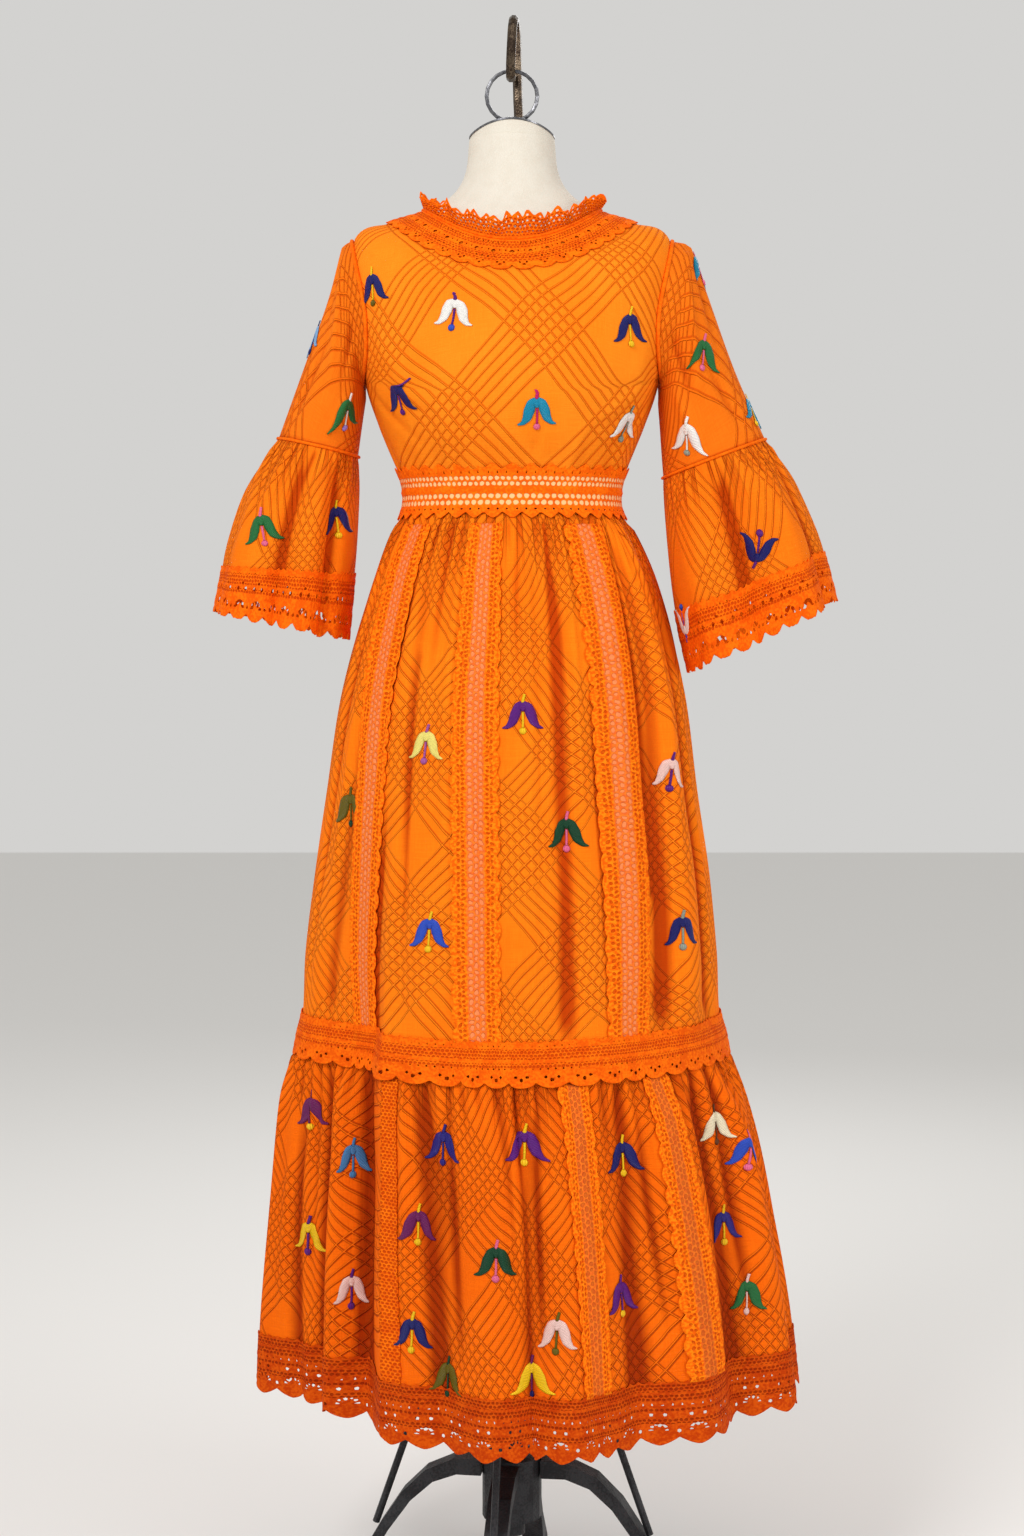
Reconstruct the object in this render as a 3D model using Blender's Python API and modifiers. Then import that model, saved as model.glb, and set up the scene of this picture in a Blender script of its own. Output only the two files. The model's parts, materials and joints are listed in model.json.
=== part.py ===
"""A lace maxi dress on a limbless dress form with a cast stand.

The dress is cut and sewn from two bodice halves, two bell sleeves with gathered
flounces, a standing neck frill over a flat collar, an open lace band at the waist,
a gathered upper skirt and a gathered lower tier joined under a lace band, upright
lace insertions on both skirts, and a deep scalloped lace hem. The form has a neck
with a cap, a ring and a hook, and it stands on a pole with four arched legs.

Front is -Y and +X is to the right of someone who faces the front. Sizes are in metres.
"""

import math

import bmesh
import bpy
import numpy as np
from mathutils import Vector

OBJECT_NAME = "lace_maxi_dress_on_dress_form"

# Cloth and seams
CLOTH = 0.0012
LACE = 0.0013
SEAM_GAP = 0.0004
LACE_LIFT = 0.0008

# The box of the whole thing is centred on the origin by this shift of the form's axis
AXIS_X = -0.0155
AXIS_Y = 0.0014

# Heights of the seams
SKIRT_TOP = 1.262
TIER_SEAM = 0.668
SKIRT_HEM = 0.3225

# How far the bodice's outer face stands off the form: it rests on the shoulders
BODICE_EASE = (
    # ring, distance
    (3.0, 0.0017),
    (4.0, 0.0017),
    (4.5, 0.0054),
    (5.0, 0.0086),
    (5.35, 0.0094),
    (6.0, 0.0080),
    (8.0, 0.0075),
    (9.0, 0.0050),
    (9.34, 0.0045),
)

# Rings of the form from the neck down
TORSO = (
    # ring, half width, side height, front reach, front height, back reach, back height, squareness
    (0.0, 0.0490, 1.690, 0.0500, 1.690, 0.0480, 1.690, 2.00),
    (1.0, 0.0535, 1.652, 0.0530, 1.650, 0.0520, 1.660, 2.00),
    (2.0, 0.0680, 1.627, 0.0660, 1.608, 0.0600, 1.640, 2.00),
    (3.0, 0.1000, 1.605, 0.0920, 1.563, 0.0780, 1.609, 2.05),
    (4.0, 0.1420, 1.591, 0.1070, 1.528, 0.0940, 1.578, 2.20),
    (5.0, 0.1735, 1.570, 0.1150, 1.490, 0.1040, 1.536, 2.35),
    (6.0, 0.1745, 1.496, 0.1230, 1.440, 0.1090, 1.476, 2.35),
    (7.0, 0.1610, 1.412, 0.1260, 1.390, 0.1070, 1.408, 2.25),
    (8.0, 0.1440, 1.360, 0.1170, 1.348, 0.0990, 1.356, 2.10),
    (9.0, 0.1265, 1.312, 0.1010, 1.310, 0.0860, 1.312, 2.00),
    (10.0, 0.1195, 1.283, 0.0960, 1.283, 0.0840, 1.283, 2.00),
    (11.0, 0.1235, 1.250, 0.0990, 1.250, 0.0900, 1.250, 2.00),
    (12.0, 0.1430, 1.180, 0.1130, 1.180, 0.1130, 1.180, 2.00),
    (13.0, 0.1620, 1.080, 0.1240, 1.080, 0.1300, 1.080, 2.05),
    (14.0, 0.1560, 0.985, 0.1180, 0.985, 0.1260, 0.985, 2.05),
)
NECKLINE = 3.0
SHOULDER = 5.0
ARMHOLE_MID = 6.0
ARMPIT = 7.0
ARMHOLE_SWEEP = math.radians(27)
ARMHOLE_LIFT = 0.0022
BODICE_ROWS = (3.0, 3.5, 4.0, 4.5, 5.0, 5.35, 6.0, 6.65, 7.0, 7.7, 8.4, 9.0, 9.34)
BODICE_COLUMNS = 12

# The skirt of both tiers, hem first
SKIRT = (
    # height, middle x, half width, front reach, back reach, squareness
    (0.250, 0.0240, 0.3060, 0.2860, 0.2760, 1.60),
    (0.350, 0.0195, 0.3000, 0.2760, 0.2660, 1.62),
    (0.450, 0.0140, 0.2880, 0.2630, 0.2530, 1.66),
    (0.550, 0.0080, 0.2714, 0.2480, 0.2380, 1.70),
    (0.600, 0.0040, 0.2600, 0.2390, 0.2290, 1.75),
    (0.640, 0.0005, 0.2485, 0.2300, 0.2190, 1.78),
    (0.668, -0.0005, 0.2420, 0.2240, 0.2120, 1.80),
    (0.760, -0.0010, 0.2360, 0.2120, 0.2040, 1.85),
    (0.850, 0.0000, 0.2260, 0.1990, 0.1960, 1.90),
    (0.940, -0.0006, 0.2125, 0.1850, 0.1860, 1.95),
    (1.060, 0.0000, 0.1945, 0.1640, 0.1700, 2.00),
    (1.150, 0.0012, 0.1710, 0.1440, 0.1480, 2.00),
    (1.200, 0.0010, 0.1540, 0.1290, 0.1300, 2.00),
    (1.235, 0.0008, 0.1385, 0.1140, 0.1120, 2.00),
    (1.254, 0.0004, 0.1290, 0.1045, 0.0945, 2.00),
    (1.262, 0.0000, 0.1262, 0.1020, 0.0918, 2.00),
)

# The lace band round the waist, inner face
WAIST_BAND = (
    # height, middle x, half width, front reach, back reach, squareness
    (1.254, 0.0004, 0.1308, 0.1063, 0.0963, 2.00),
    (1.262, 0.0000, 0.1275, 0.1034, 0.0932, 2.00),
    (1.283, 0.0000, 0.1252, 0.1014, 0.0893, 2.00),
    (1.302, 0.0000, 0.1293, 0.1046, 0.0907, 2.00),
    (1.312, 0.0000, 0.1334, 0.1081, 0.0931, 2.00),
)
WAIST_SCALLOPS = 32
WAIST_BAND_ROWS = (1.312, 1.2995, 1.2895, 1.2770, 1.2670, 1.254)
WAIST_HOLE_ROWS = (1, 3)

# Where the upright lace insertions and the big fold lie, as edges on the skirts
UPPER_FRONT_LINES = (
    # column, angle at the top, angle at the bottom, in degrees from the front
    (0, -90, -90),
    (5, -64, -48),
    (8, -42, -40),
    (9, -38, -37),
    (12, -21, -17),
    (15, -4, -3),
    (20, 24, 28),
    (23, 48, 41),
    (32, 90, 90),
)
UPPER_BACK_LINES = (
    (0, 90, 90),
    (5, 119, 122),
    (8, 141, 138),
    (12, 169, 172),
    (16, 191, 188),
    (20, 219, 222),
    (23, 241, 238),
    (28, 270, 270),
)
LOWER_FRONT_LINES = (
    (0, -90, -90),
    (5, -56, -56),
    (7, -45, -45),
    (8, -40, -40),
    (9, -37, -37),
    (10, -32, -32),
    (18, 13, 14),
    (20, 22, 21),
    (23, 36, 37),
    (25, 45, 48),
    (34, 90, 90),
)
LOWER_BACK_LINES = (
    (0, 90, 90),
    (6, 124, 125),
    (8, 137, 136),
    (15, 174, 175),
    (17, 186, 185),
    (24, 223, 224),
    (26, 236, 235),
    (32, 270, 270),
)
UPPER_FRONT_LACES = ((5, 8), (12, 15), (20, 23))
UPPER_BACK_LACES = ((5, 8), (12, 16), (20, 23))
LOWER_FRONT_LACES = ((9, 10), (18, 20), (23, 25))
LOWER_BACK_LACES = ((6, 8), (15, 17), (24, 26))

UPPER_ROWS = (1.262, 1.250, 1.228, 1.150, 1.000, 0.840, 0.693, 0.668)
LOWER_ROWS = (0.6675, 0.642, 0.618, 0.560, 0.450, 0.3225)

# Folds, as soft ridges and troughs that run down a skirt
UPPER_FOLDS = (
    # angle at the top, angle at the bottom, half width, depth at the top, depth at the bottom
    (-52, -62, 5.0, 0.001, -0.007),
    (-28, -26, 5.0, -0.002, 0.006),
    (5, 9, 6.0, 0.001, 0.007),
    (14, 17, 4.0, -0.002, -0.008),
    (52, 46, 4.5, -0.006, -0.009),
    (62, 57, 5.0, 0.006, 0.010),
    (74, 70, 4.0, -0.003, -0.009),
    (112, 110, 6.0, 0.002, -0.010),
    (128, 130, 7.0, -0.002, 0.010),
    (152, 154, 6.0, 0.002, -0.009),
    (180, 180, 7.0, -0.001, 0.009),
    (206, 204, 6.0, 0.001, -0.010),
    (232, 230, 7.0, -0.002, 0.008),
    (254, 251, 6.0, 0.002, -0.009),
)
LOWER_FOLDS = (
    (-78, -80, 5.0, 0.004, 0.012),
    (-66, -66, 4.5, -0.008, -0.014),
    (-56, -56, 4.0, -0.010, -0.018),
    (-49, -49, 4.0, 0.010, 0.018),
    (-24, -24, 4.5, -0.008, -0.014),
    (-12, -12, 5.0, 0.006, 0.010),
    (1, 0, 4.5, -0.006, -0.012),
    (12, 12, 5.0, 0.006, 0.012),
    (28, 28, 4.5, -0.008, -0.016),
    (40, 41, 5.0, 0.008, 0.014),
    (53, 54, 4.5, -0.010, -0.018),
    (65, 66, 5.5, 0.008, 0.018),
    (77, 78, 4.5, -0.008, -0.016),
    (104, 103, 5.0, -0.008, -0.018),
    (118, 118, 6.0, 0.010, 0.020),
    (133, 132, 5.0, -0.010, -0.018),
    (150, 151, 7.0, 0.008, 0.018),
    (168, 167, 5.0, -0.008, -0.020),
    (184, 184, 6.0, 0.008, 0.016),
    (201, 200, 5.0, -0.010, -0.018),
    (216, 217, 6.0, 0.010, 0.018),
    (233, 233, 5.0, -0.008, -0.020),
    (249, 249, 6.0, 0.008, 0.018),
)

# The deep fold on the left, where the front panel laps over the side
LAP_TOP = 1.000
LAP_AT_TIER = 0.046
LAP_AT_HEM = 0.064
LAP_EDGE = -37.0
LAP_WALL = -40.0
LAP_END = -86.0

# Gathers under the waist band and under the tier band
UPPER_GATHER = (
    # height, depth
    (0.668, 0.0),
    (0.950, 0.0006),
    (1.150, 0.0016),
    (1.228, 0.0036),
    (1.250, 0.0004),
    (1.262, 0.0),
)
LOWER_GATHER = (
    (0.250, 0.0010),
    (0.450, 0.0016),
    (0.560, 0.0034),
    (0.618, 0.0046),
    (0.642, 0.0004),
    (0.668, 0.0),
)
FOLD_FADE_TOP = 0.070
FOLD_FADE_SEAM = 0.060

# Sleeves: the outer line and the inner line of each, from the armhole down
LEFT_SLEEVE = (
    # section, outer x, outer height, inner x, inner height, half depth
    (0.0, 0.196, 1.566, 0.168, 1.392, 0.060),
    (1.0, 0.211, 1.506, 0.171, 1.372, 0.064),
    (2.0, 0.238, 1.430, 0.174, 1.350, 0.064),
    (3.0, 0.2675, 1.348, 0.177, 1.327, 0.060),
)
RIGHT_SLEEVE = (
    (0.0, 0.205, 1.566, 0.168, 1.386, 0.060),
    (1.0, 0.225, 1.510, 0.170, 1.360, 0.064),
    (2.0, 0.256, 1.424, 0.172, 1.330, 0.064),
    (3.0, 0.2900, 1.347, 0.174, 1.303, 0.062),
)
LEFT_FLOUNCE = (
    (0.0, 0.2675, 1.3475, 0.177, 1.3265, 0.060),
    (1.0, 0.3000, 1.291, 0.176, 1.285, 0.072),
    (2.0, 0.3225, 1.230, 0.178, 1.228, 0.081),
    (3.0, 0.3315, 1.192, 0.182, 1.180, 0.085),
    (4.0, 0.3400, 1.148, 0.188, 1.116, 0.089),
)
RIGHT_FLOUNCE = (
    (0.0, 0.2900, 1.3465, 0.174, 1.3025, 0.062),
    (1.0, 0.3180, 1.303, 0.176, 1.255, 0.074),
    (2.0, 0.3440, 1.246, 0.182, 1.190, 0.084),
    (3.0, 0.3560, 1.208, 0.190, 1.136, 0.089),
    (4.0, 0.3680, 1.160, 0.203, 1.078, 0.094),
)
SLEEVE_COLUMNS = 20
FLOUNCE_COLUMNS = 36
FLOUNCE_RIPPLE = 0.0016
FLOUNCE_ROWS = (0.0, 0.5, 1.2, 2.0, 3.0)
TRIM_END = 3.96
TRIM_ROWS = (2.80, 3.40, 4.0)
LEFT_WAVES = (
    # angle from the outer edge, half width, depth at the hem
    (-150, 12, -0.006),
    (-118, 11, -0.014),
    (-84, 14, 0.009),
    (-52, 10, -0.014),
    (-18, 13, 0.008),
    (14, 9, -0.010),
    (47, 15, 0.009),
    (86, 9, -0.017),
    (111, 12, 0.009),
    (134, 8, -0.015),
)
RIGHT_WAVES = (
    (-146, 12, -0.006),
    (-112, 11, -0.015),
    (-78, 14, 0.009),
    (-44, 10, -0.014),
    (-10, 14, 0.008),
    (24, 9, -0.009),
    (56, 14, 0.010),
    (98, 12, -0.022),
    (132, 13, 0.010),
)

# Frill and collar at the neck
FRILL_WAVES = 24
FRILL_STEPS = 4
FRILL_BASE_RING = 2.97
FRILL_SWING = 0.0042
FRILL_FRONT = (0.030, 0.006)
FRILL_SIDE = (0.021, 0.012)
FRILL_BACK = (0.026, 0.006)
COLLAR_SCALLOPS = 36
COLLAR_LIFT = 0.0011
COLLAR_ROWS = (3.04, 3.5, 4.0)
COLLAR_NOTCH = 3.84

# Scallops along the other lace edges
SCALLOP_DROP = 0.006
SIDE_SEAM_COLUMN = 0.085
HEM_SCALLOPS_PER_HALF = 24
HEM_LACE_ROWS = (0.322, 0.2965, 0.2845, 0.268)
HEM_HOLE_ROW = 1
TIER_BAND_LIFT = (0.0010, 0.0036, 0.0050)
TIER_BAND_BOTTOM = 0.6480

# Form fittings
CAP_RADIUS = 0.0505
CAP_THICK = 0.0035
CAP_RISE = 0.0150
RING_RADIUS = 0.0292
RING_WIRE = 0.0023
HOOK_WIRE = 0.0056

# Stand
POLE_RADIUS = 0.0150
POLE_FOOT = 0.090
POLE_CLEARANCE = 0.0008
HUB_RADIUS = 0.034
HUB_HEIGHT = 0.070
HUB_Z = 0.145
BRACE_COLLAR_Z = 0.500
LEG_TURN = math.radians(8)
LEG_WIDTH = 0.026
BRACE_RADIUS = 0.0042
BRACE_TOP = (0.0205, 0.4870)
BRACE_FOOT = (0.1590, 0.0944)
LEG_PATH = (
    # distance from the axis, height of the middle line, thickness
    (0.0345, 0.167, 0.020),
    (0.0650, 0.166, 0.018),
    (0.0950, 0.154, 0.016),
    (0.1220, 0.129, 0.014),
    (0.1480, 0.092, 0.012),
    (0.1720, 0.051, 0.012),
    (0.1930, 0.014, 0.013),
)
FOOT_REACH = (0.186, 0.222)


def clear_scene():
    """Takes away whatever the file starts with."""
    for thing in list(bpy.data.objects):
        bpy.data.objects.remove(thing, do_unlink=True)


def finish_material(name, colour, roughness, metallic=0.0):
    """A plain finish for the solids."""
    material = bpy.data.materials.new(name)
    material.use_nodes = True
    shader = material.node_tree.nodes["Principled BSDF"]
    shader.inputs["Base Color"].default_value = (*colour, 1.0)
    shader.inputs["Roughness"].default_value = roughness
    shader.inputs["Metallic"].default_value = metallic
    return material


def curve_through(rows, place):
    """The named columns of a table at a place, on a smooth curve through its rows."""
    table = np.array(rows, float)
    places, values = table[:, 0], table[:, 1:]
    slopes = np.gradient(values, places, axis=0)
    k = int(np.clip(np.searchsorted(places, place) - 1, 0, len(places) - 2))
    step = places[k + 1] - places[k]
    t = min(max((place - places[k]) / step, 0.0), 1.0)
    near = (1 + 2 * t) * (1 - t) ** 2 * values[k] + t * (1 - t) ** 2 * step * slopes[k]
    far = t * t * (3 - 2 * t) * values[k + 1] + t * t * (t - 1) * step * slopes[k + 1]
    return near + far


def straight_through(rows, place):
    """The same with straight lines between the rows."""
    table = np.array(rows, float)
    return np.array([np.interp(place, table[:, 0], column) for column in table[:, 1:].T])


def soft_step(t):
    t = min(max(t, 0.0), 1.0)
    return t * t * (3 - 2 * t)


def signed_power(value, power):
    return math.copysign(abs(value) ** power, value)


def torso_point(ring, angle):
    """A point on the form: ring counts down from the neck, angle turns from the front to +X."""
    half, side_z, front, front_z, back, back_z, square = curve_through(TORSO, ring)
    s, c = math.sin(angle), math.cos(angle)
    reach, end_z = (front, front_z) if c > 0 else (back, back_z)
    x = half * signed_power(s, 2 / square)
    y = -reach * signed_power(c, 2 / square)
    return Vector((x, y, side_z + (end_z - side_z) * c * c))


def hoop_point(rows, height, angle):
    """A point of a level oval whose sizes come from a table of heights."""
    middle, half, front, back, square = curve_through(rows, height)
    s, c = math.sin(angle), math.cos(angle)
    reach = front if c > 0 else back
    x = middle + half * signed_power(s, 2 / square)
    return Vector((x, -reach * signed_power(c, 2 / square), height))


def turn_between(angle, other):
    """The signed turn from one angle to another, in degrees."""
    return (angle - other + 180) % 360 - 180


def fold_depth(folds, degrees, down, fade):
    """How far all folds push the cloth out; down runs from 0 to 1, fade ends them at seams."""
    total = 0.0
    for top, bottom, width, depth_top, depth_bottom in folds:
        middle = top + (bottom - top) * down
        depth = depth_top + (depth_bottom - depth_top) * down
        total += depth * math.exp(-((turn_between(degrees, middle) / width) ** 2))
    return total * fade


def lap_depth(degrees, height):
    """How far back the cloth lies behind the lapping edge of the front panel."""
    turn = turn_between(degrees, 0)
    if not LAP_END < turn < LAP_EDGE:
        return 0.0
    if height > TIER_SEAM:
        depth = LAP_AT_TIER * soft_step((LAP_TOP - height) / (LAP_TOP - TIER_SEAM))
    else:
        depth = LAP_AT_TIER + (LAP_AT_HEM - LAP_AT_TIER) * (TIER_SEAM - height) / TIER_SEAM
    if turn > LAP_WALL:
        return depth * soft_step((LAP_EDGE - turn) / (LAP_EDGE - LAP_WALL))
    return depth * soft_step((turn - LAP_END) / (LAP_WALL - LAP_END))


def skirt_point(height, degrees, folds, down, fade):
    """A point of the skirt's cloth with its folds, before gathers."""
    angle = math.radians(degrees)
    point = hoop_point(SKIRT, height, angle)
    outward = Vector((math.sin(angle), -math.cos(angle), 0.0))
    point += outward * fold_depth(folds, degrees, down, fade)
    point.y += lap_depth(degrees, height)
    return point


def line_angle(lines, column, down):
    """The angle of a column, between the lines on which the laces are sewn."""
    top, bottom = straight_through(lines, column)
    return top + (bottom - top) * down


def upper_surface(lines):
    """The upper skirt's cloth between its side seams, by height and column."""

    def point(height, column):
        down = min(max((SKIRT_TOP - height) / (SKIRT_TOP - TIER_SEAM), 0.0), 1.0)
        degrees = line_angle(lines, column, down)
        gather = straight_through(UPPER_GATHER, height)[0] * math.cos(math.pi * column)
        outward = Vector((math.sin(math.radians(degrees)), -math.cos(math.radians(degrees)), 0.0))
        fade = soft_step((SKIRT_TOP - height) / FOLD_FADE_TOP)
        fade *= soft_step((height - TIER_SEAM) / FOLD_FADE_SEAM)
        return skirt_point(height, degrees, UPPER_FOLDS, down, fade) + outward * gather

    return point


def lower_surface(lines):
    """The lower tier's cloth between its side seams, by height and column."""

    def point(height, column):
        down = min(max((TIER_SEAM - height) / (TIER_SEAM - SKIRT_HEM), 0.0), 1.1)
        degrees = line_angle(lines, column, down)
        gather = straight_through(LOWER_GATHER, height)[0] * math.cos(math.pi * column)
        outward = Vector((math.sin(math.radians(degrees)), -math.cos(math.radians(degrees)), 0.0))
        fade = soft_step((TIER_SEAM - 0.012 - height) / FOLD_FADE_SEAM)
        return skirt_point(height, degrees, LOWER_FOLDS, down, fade) + outward * gather

    return point


def armhole_edge(ring):
    """How far a bodice half reaches round to the side at a ring, in radians."""
    if not SHOULDER < ring < ARMPIT:
        return math.pi / 2
    return math.pi / 2 - ARMHOLE_SWEEP * math.sqrt(1 - (ring - ARMHOLE_MID) ** 2)


def bodice_ease(ring):
    return straight_through(BODICE_EASE, ring)[0]


def seam_edge(ring):
    """The edge of a bodice half, a seam's gap short of the other half at shoulder and side."""
    square = curve_through(TORSO, ring)[6]
    return armhole_edge(ring) - (SEAM_GAP / 0.11) ** (square / 2)


def bodice_surface(facing):
    """The bodice's outer face: facing 0 for the front, pi for the back; column from -1 to 1."""

    def point(ring, column):
        angle = facing + column * seam_edge(ring)
        return moved_out(torso_point, ring, angle, bodice_ease(ring), 0.01, 0.01)

    return point


def sleeve_oval(rows, section, angle, side):
    """A point of a sleeve's oval: angle 0 is the outer edge, pi the inner edge."""
    outer_x, outer_z, inner_x, inner_z, depth = curve_through(rows, section)
    across = (1 + math.cos(angle)) / 2
    x = side * (inner_x + (outer_x - inner_x) * across)
    z = inner_z + (outer_z - inner_z) * across
    return Vector((x, side * depth * math.sin(angle), z))


def sleeve_surface(rows, side):
    """A sleeve from the armhole to the flounce seam: place runs from -1 at the armhole."""

    def point(place, angle):
        if place >= 0:
            return sleeve_oval(rows, place, angle, side)
        ring = ARMHOLE_MID - math.cos(angle)
        turn = math.pi / 2 - (ARMHOLE_SWEEP + 0.02) * abs(math.sin(angle))
        at_front = math.sin(angle) * side < 0
        around = turn if at_front else math.pi - turn
        return moved_out(torso_point, ring, side * around, bodice_ease(ring) + ARMHOLE_LIFT, 0.01, 0.01)

    return point


def flounce_surface(rows, waves, side):
    """A flounce from its gathered seam to its hem, with soft waves that grow downwards."""

    def point(section, angle):
        place = sleeve_oval(rows, section, angle, side)
        degrees = -side * math.degrees(angle)
        swing = 0.0
        for middle, width, depth in waves:
            swing += depth * math.exp(-((turn_between(degrees, middle) / width) ** 2))
        outward = Vector((side * math.cos(angle), side * math.sin(angle), 0.0))
        inner_calm = 1 - 0.8 * soft_step((-math.cos(angle) - 0.6) / 0.4)
        grow = soft_step(section / 1.2) * (0.55 + 0.45 * section / 4)
        near_seam = soft_step(section / 0.3) * math.exp(-((section - 0.5) / 0.8) ** 2)
        ripple = FLOUNCE_RIPPLE * math.cos(angle * FLOUNCE_COLUMNS / 2) * near_seam
        return place + outward * (swing * grow * inner_calm + ripple)

    return point


def normal_at(surface, row, column, row_step, column_step):
    """The outward normal of a surface whose rows run down and columns turn towards +X."""
    down = surface(row + row_step, column) - surface(row - row_step, column)
    along = surface(row, column + column_step) - surface(row, column - column_step)
    return down.cross(along).normalized()


def moved_out(surface, row, column, distance, row_step, column_step):
    normal = normal_at(surface, row, column, row_step, column_step)
    return surface(row, column) + normal * distance


def grid_of(surface, rows, columns):
    return [[surface(row, column) for column in columns] for row in rows]


def grid_normals(grid, closed=False):
    """Normals at the points of a grid, from their neighbours."""
    normals = []
    rows, count = len(grid), len(grid[0])
    for r in range(rows):
        line = []
        for c in range(count):
            above, below = grid[max(r - 1, 0)][c], grid[min(r + 1, rows - 1)][c]
            if closed:
                before, after = grid[r][c - 1], grid[r][(c + 1) % count]
            else:
                before, after = grid[r][max(c - 1, 0)], grid[r][min(c + 1, count - 1)]
            line.append((below - above).cross(after - before).normalized())
        normals.append(line)
    return normals


def on_grid(grid, row, column):
    """A point between the points of a grid, by straight lines."""
    r, c = min(int(row), len(grid) - 2), min(int(column), len(grid[0]) - 2)
    a, b = row - r, column - c
    upper = grid[r][c].lerp(grid[r][c + 1], b)
    lower = grid[r + 1][c].lerp(grid[r + 1][c + 1], b)
    return upper.lerp(lower, a)


def lifted(grid, normals, row, column, distance):
    return on_grid(grid, row, column) + on_grid(normals, row, column).normalized() * distance


def add_object(name, mesh, material):
    thing = bpy.data.objects.new(name, mesh)
    thing.data.materials.append(material)
    PARTS.objects.link(thing)
    thing.parent = AXIS
    return thing


def wall(name, grid, thickness, material, outwards=False, closed=False, holes=()):
    """A cloth wall on a grid of points; outwards puts the thickness outside the points."""
    rows, count = len(grid), len(grid[0])
    faces = []
    for r in range(rows - 1):
        for c in range(count if closed else count - 1):
            if (r, c) in holes:
                continue
            d = (c + 1) % count
            faces.append((r * count + c, (r + 1) * count + c, (r + 1) * count + d, r * count + d))
    mesh = bpy.data.meshes.new(name)
    mesh.from_pydata([point for line in grid for point in line], [], faces)
    mesh.update()
    thing = add_object(name, mesh, material)
    solidify = thing.modifiers.new("cloth thickness", "SOLIDIFY")
    solidify.thickness = thickness
    solidify.offset = 1.0 if outwards else -1.0
    solidify.use_even_offset = False
    return thing


def loft_solid(name, sections, material):
    """A closed solid through loops of points with equal counts, with flat ends."""
    mesh = bpy.data.meshes.new(name)
    shape = bmesh.new()
    loops = [[shape.verts.new(point) for point in section] for section in sections]
    count = len(loops[0])
    for near, far in zip(loops, loops[1:]):
        for k in range(count):
            j = (k + 1) % count
            shape.faces.new((near[k], far[k], far[j], near[j]))
    shape.faces.new(loops[0])
    shape.faces.new(list(reversed(loops[-1])))
    bmesh.ops.recalc_face_normals(shape, faces=shape.faces)
    shape.to_mesh(mesh)
    shape.free()
    return add_object(name, mesh, material)


def round_solid(name, radius, depth, centre, material, segments=24):
    """An upright cylinder."""
    mesh = bpy.data.meshes.new(name)
    shape = bmesh.new()
    bmesh.ops.create_cone(
        shape, cap_ends=True, segments=segments, radius1=radius, radius2=radius, depth=depth
    )
    shape.to_mesh(mesh)
    shape.free()
    thing = add_object(name, mesh, material)
    thing.location = centre
    return thing


def wire(name, points, radius, material, closed=False):
    """A round rod bent along points."""
    curve = bpy.data.curves.new(name, "CURVE")
    curve.dimensions = "3D"
    spline = curve.splines.new("POLY")
    spline.points.add(len(points) - 1)
    for slot, point in zip(spline.points, points):
        slot.co = (*point, 1.0)
    spline.use_cyclic_u = closed
    curve.bevel_depth = radius
    curve.bevel_resolution = 2
    curve.use_fill_caps = not closed
    thing = bpy.data.objects.new(name, curve)
    curve.materials.append(material)
    PARTS.objects.link(thing)
    thing.parent = AXIS
    return thing


def make_form():
    """The padded body and neck, whole and smooth."""
    rings = (0, 1, 1.6, 2.2, 3, 3.5, 4, 4.5, 5, 5.35, 6, 7, 8, 9, 10, 11, 12, 14)
    turns = [2 * math.pi * k / (2 * BODICE_COLUMNS) for k in range(2 * BODICE_COLUMNS)]
    loft_solid("form_torso", [[torso_point(ring, turn) for turn in turns] for ring in rings], FORM)


def make_neck_fittings():
    """The cap on the neck, the ring that stands on it and the hook through the ring."""
    crown = TORSO[0][2] + SEAM_GAP
    turns = [2 * math.pi * k / 20 for k in range(20)]
    profile = (
        # radius, height above the neck
        (CAP_RADIUS, 0.0),
        (CAP_RADIUS + 0.0010, CAP_THICK / 2),
        (CAP_RADIUS, CAP_THICK),
        (CAP_RADIUS * 0.80, CAP_THICK + CAP_RISE * 0.38),
        (CAP_RADIUS * 0.45, CAP_THICK + CAP_RISE * 0.84),
        (CAP_RADIUS * 0.16, CAP_THICK + CAP_RISE),
    )
    sections = [
        [(radius * math.sin(turn), -radius * math.cos(turn), crown + rise) for turn in turns]
        for radius, rise in profile
    ]
    loft_solid("neck_cap", sections, STEEL)
    cap_top = crown + CAP_THICK + CAP_RISE
    ring_middle = cap_top + RING_RADIUS + RING_WIRE + 0.0004
    loop = [
        (RING_RADIUS * math.sin(turn), 0.0, ring_middle + RING_RADIUS * math.cos(turn))
        for turn in turns
    ]
    wire("neck_ring", loop, RING_WIRE, STEEL, closed=True)
    ring_top = ring_middle + RING_RADIUS
    crook = 0.0165
    crook_middle = ring_top - RING_WIRE - HOOK_WIRE - 0.0004 + crook
    hook = [(0.0085, crook + 0.004, cap_top + 0.0002)]
    hook.append((0.0070, crook + 0.002, cap_top + 0.030))
    for k in range(9):
        turn = math.pi * k / 8
        rise = crook_middle + 0.034 + crook * math.sin(turn)
        hook.append((0.0050 - 0.0006 * k, crook * math.cos(turn), rise))
    hook.append((-0.0010, -crook, crook_middle + 0.012))
    hook.append((-0.0016, -crook * 0.86, crook_middle - 0.003))
    hook.append((-0.0016, -crook * 0.40, crook_middle - crook * 0.92))
    hook.append((-0.0010, 0.0, crook_middle - crook))
    wire("hanging_hook", hook, HOOK_WIRE, BRONZE)


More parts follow.
